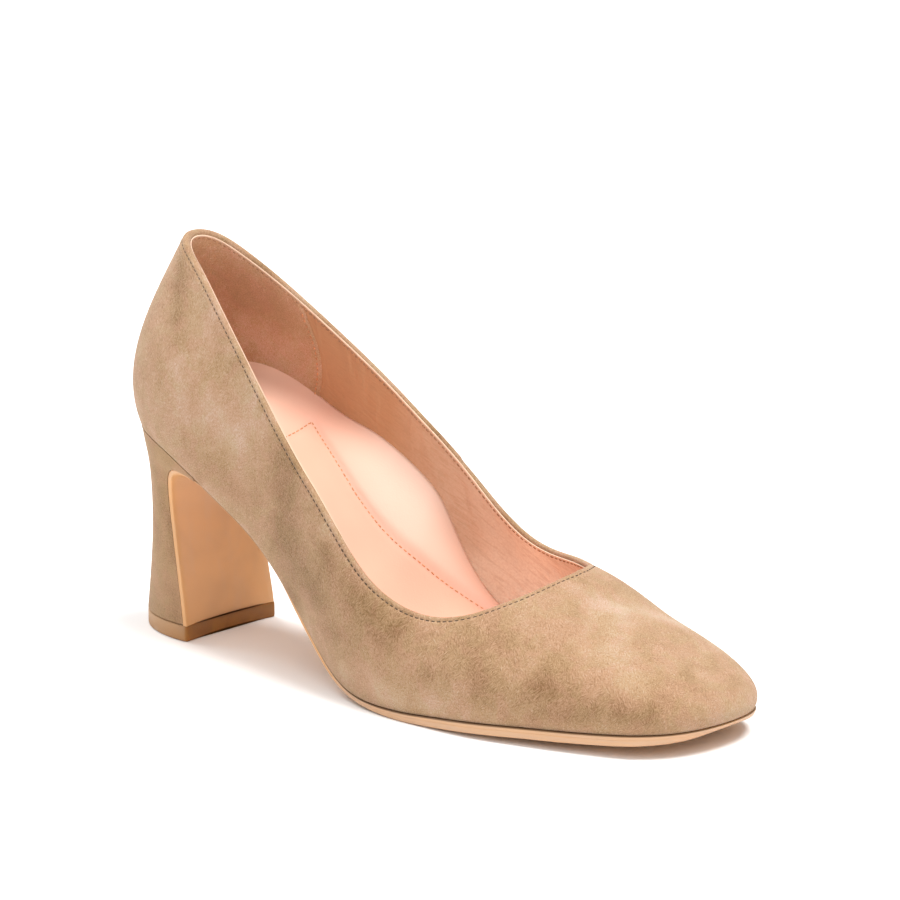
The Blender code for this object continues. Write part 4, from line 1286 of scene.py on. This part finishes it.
class PUMP_OT_lining(bpy.types.Operator):
    """Leather lining and its cut edge"""

    bl_idname = "pump.lining"
    bl_label = "Lining"

    def execute(self, context):
        sizes, colours = context.scene.pump_sizes, context.scene.pump_colours
        ribs = join_sides(rib_sides())
        points, faces = lining_surface(ribs, sizes)
        # Painted light: the lining is made paler from the waist to the vamp.
        start, rows = LINING_PAINTED_LIGHT
        front = ramp(np.abs(ribs["place"]) - start, rows)
        look = lining_look("lining_leather", colours.lining, colours.lining_front_painted_light)
        add_piece("lining", points, faces, look,
                  marks={"front": np.repeat(front, LINING_STEPS)})
        strip, faces = lining_edge_strip(topline(ribs), sizes)
        look = lining_look("lining_cut_edge", colours.lining_edge, colours.lining_edge)
        add_piece("lining_edge", strip, faces, look)
        return {"FINISHED"}


class PUMP_OT_heel_grip(bpy.types.Operator):
    """Suede heel grip and its stitches"""

    bl_idname = "pump.heel_grip"
    bl_label = "Heel grip"

    def execute(self, context):
        sizes, colours = context.scene.pump_sizes, context.scene.pump_colours
        ribs = join_sides(rib_sides())
        points, faces = grip_surface(ribs, sizes)
        look = suede_look("grip_suede", colours.grip, shade(colours.grip, GRIP_DARK),
                          shade(colours.grip, *GRIP_LIGHT), GRIP_BRUSH)
        add_piece("heel_grip", points, faces, look, marks={"nap_and_painted_light": stroke_tone(points, GRIP_STROKES)})
        thread = thread_look("grip_thread", colours.bed_thread)
        for name, sign in (("medial", -1), ("lateral", 1)):
            sew("heel_grip_stitches_" + name, *grip_seam(ribs, sizes, sign), thread, "footbed_leather",
                sizes, GRIP_STITCH)
        return {"FINISHED"}


class PUMP_OT_footbed(bpy.types.Operator):
    """Padded footbed with its sewn lines"""

    bl_idname = "pump.footbed"
    bl_label = "Footbed"

    def execute(self, context):
        sizes, colours = context.scene.pump_sizes, context.scene.pump_colours
        bed = Footbed(join_sides(rib_sides()), sizes)
        points, faces = bed.surface()
        look = footbed_look("footbed_leather", colours.footbed, colours.footbed_pale_and_painted_light)
        # Mark of paleness: partly tone, partly painted light at the heel and a painted highlight on the
        # arch.
        piece = add_piece("footbed", points, faces, look,
                          marks={"pale": bed_pale_and_painted_light(points)})
        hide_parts("insole")
        thread = thread_look("footbed_thread", colours.bed_thread)
        for name, path, normal in (("medial", *bed.sewn_line(1)), ("lateral", *bed.sewn_line(2)),
                                   ("bar", *bed.sewn_bar())):
            sew("footbed_stitches_" + name, path, normal, thread, "footbed_leather", sizes)
        return {"FINISHED"}


class PUMP_OT_outsole(bpy.types.Operator):
    """Leather outsole that folds down over the front of the heel"""

    bl_idname = "pump.outsole"
    bl_label = "Outsole"

    def execute(self, context):
        colours = context.scene.pump_colours
        points, faces, marks = outsole_surface(rib_sides())
        look = sole_look("sole_leather_dressed", colours.sole, colours.sole_edge)
        piece = add_piece("outsole_leather", points, faces, look, closed=True, sharp=50,
                          marks=marks)
        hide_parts("outsole")
        return {"FINISHED"}


class PUMP_OT_heel(bpy.types.Operator):
    """Suede covered block heel and its rubber top lift"""

    bl_idname = "pump.heel"
    bl_label = "Heel"

    def execute(self, context):
        colours = context.scene.pump_colours
        points, faces = heel_surface(rib_sides())
        look = suede_look("heel_cover_suede", colours.heel, colours.suede_dark, colours.suede)
        piece = add_piece("heel_cover", points, faces, look, closed=True, sharp=40,
                          marks={"nap_and_painted_light": stroke_tone(points, HEEL_NAP)})
        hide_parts("heel")
        points, faces, marks = lift_surface()
        look = rubber_look("lift_rubber_worn", colours.lift)
        piece = add_piece("lift", points, faces, look, closed=True, sharp=50, marks=marks)
        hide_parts("top_lift")
        return {"FINISHED"}


class PUMP_OT_topline_stitches(bpy.types.Operator):
    """Stitch rows below the topline, on the suede and on the lining"""

    bl_idname = "pump.topline_stitches"
    bl_label = "Topline stitches"

    def execute(self, context):
        sizes, colours = context.scene.pump_sizes, context.scene.pump_colours
        line = topline(join_sides(rib_sides()))
        drop = seam_drop(line["place"], sizes)[:, None]
        groove = np.full_like(drop, sizes.seam_depth / MM)
        inner = wall_depth(line["place"], sizes)[:, None]
        share, more = LINING_DROP
        for name, sign, deep, low, colour, slot in (
                ("topline_stitches", 1, groove, drop, colours.thread, "suede"),
                ("lining_stitches", -1, inner, share * drop + more, colours.lining_thread,
                 "footbed_leather")):
            row = edge_strip(line, -deep, -low)[:, 0]
            path, normal = [np.concatenate([rows, rows[:1]]) for rows in (row, line["normal"] * sign)]
            sew(name, path, normal, thread_look(name + "_thread", colour), slot, sizes)
        return {"FINISHED"}


class PUMP_OT_stage(bpy.types.Operator):
    """Pale floor, soft studio light and the camera"""

    bl_idname = "pump.stage"
    bl_label = "Studio"

    def sun(self, context, name, spot, spread, strength, gloss):
        """Wide soft light from far away in the direction of a spot, with or without its own shine."""
        light = bpy.data.lights.new(name, "SUN")
        light.angle = math.radians(spread)
        light.energy = strength
        lamp = bpy.data.objects.new(name, light)
        lamp.location = spot
        lamp.visible_glossy = gloss
        lamp.rotation_euler = Vector(spot).to_track_quat("Z", "Y").to_euler()
        context.scene.collection.objects.link(lamp)

    def execute(self, context):
        pale = context.scene.pump_colours.floor
        look = Look("studio_floor")
        look.set(Base_Color=look.blend(look.noise(6, 2), shade(pale, 0.995), pale), Roughness=0.8,
                 Specular_IOR_Level=0.2)
        mesh = bpy.data.meshes.new("studio_floor")
        corners = [(FLOOR_HALF * x, FLOOR_HALF * y, 0) for x, y in ((-1, -1), (1, -1), (1, 1), (-1, 1))]
        mesh.from_pydata(corners, [], [(0, 1, 2, 3)])
        mesh.materials.append(look.material)
        floor = bpy.data.objects.new("studio_floor", mesh)
        context.scene.collection.objects.link(floor)
        world = bpy.data.worlds.new("studio_air")
        world.use_nodes = True
        air = world.node_tree.nodes["Background"].inputs
        air["Color"].default_value = (1.0, 1.0, 1.0, 1.0)
        air["Strength"].default_value = AIR_STRENGTH
        context.scene.world = world
        context.scene.view_settings.view_transform = "Standard"
        for sun in SUNS:
            self.sun(context, *sun)
        turn, rise = math.radians(CAMERA_TURN), math.radians(CAMERA_RISE)
        back = Vector((math.sin(turn) * math.cos(rise), -math.cos(turn) * math.cos(rise),
                       math.sin(rise)))
        lens = bpy.data.cameras.new("camera")
        lens.angle = math.radians(CAMERA_ANGLE)
        camera = bpy.data.objects.new("camera", lens)
        camera.location = Vector(CAMERA_AIM) + back * CAMERA_AWAY
        camera.rotation_euler = back.to_track_quat("Z", "Y").to_euler()
        context.scene.collection.objects.link(camera)
        context.scene.camera = camera
        return {"FINISHED"}


STEPS = (PUMP_OT_upper, PUMP_OT_lining, PUMP_OT_heel_grip, PUMP_OT_footbed, PUMP_OT_outsole,
         PUMP_OT_heel, PUMP_OT_topline_stitches, PUMP_OT_stage)


class PUMP_PT_panel(bpy.types.Panel):
    """Pieces of the shoe and their settings."""

    bl_label = "Block heel pump"
    bl_idname = "PUMP_PT_panel"
    bl_space_type = "VIEW_3D"
    bl_region_type = "UI"
    bl_category = "Pump"

    def draw(self, context):
        for step in STEPS:
            self.layout.operator(step.bl_idname)
        for group in (context.scene.pump_sizes, context.scene.pump_colours):
            for key in group.__annotations__:
                self.layout.prop(group, key)


CLASSES = (PumpSizes, PumpColours, *STEPS, PUMP_PT_panel)


def register():
    """Make the settings, operators and panel known."""
    for item in CLASSES:
        bpy.utils.register_class(item)
    bpy.types.Scene.pump_sizes = PointerProperty(type=PumpSizes)
    bpy.types.Scene.pump_colours = PointerProperty(type=PumpColours)


def unregister():
    """Take the settings, operators and panel away."""
    del bpy.types.Scene.pump_colours
    del bpy.types.Scene.pump_sizes
    for item in reversed(CLASSES):
        bpy.utils.unregister_class(item)


def main():
    """Build the pieces in order."""
    register()
    bpy.ops.pump.upper()
    bpy.ops.pump.lining()
    bpy.ops.pump.heel_grip()
    bpy.ops.pump.footbed()
    bpy.ops.pump.outsole()
    bpy.ops.pump.heel()
    bpy.ops.pump.topline_stitches()
    bpy.ops.pump.stage()


if __name__ == "__main__":
    main()
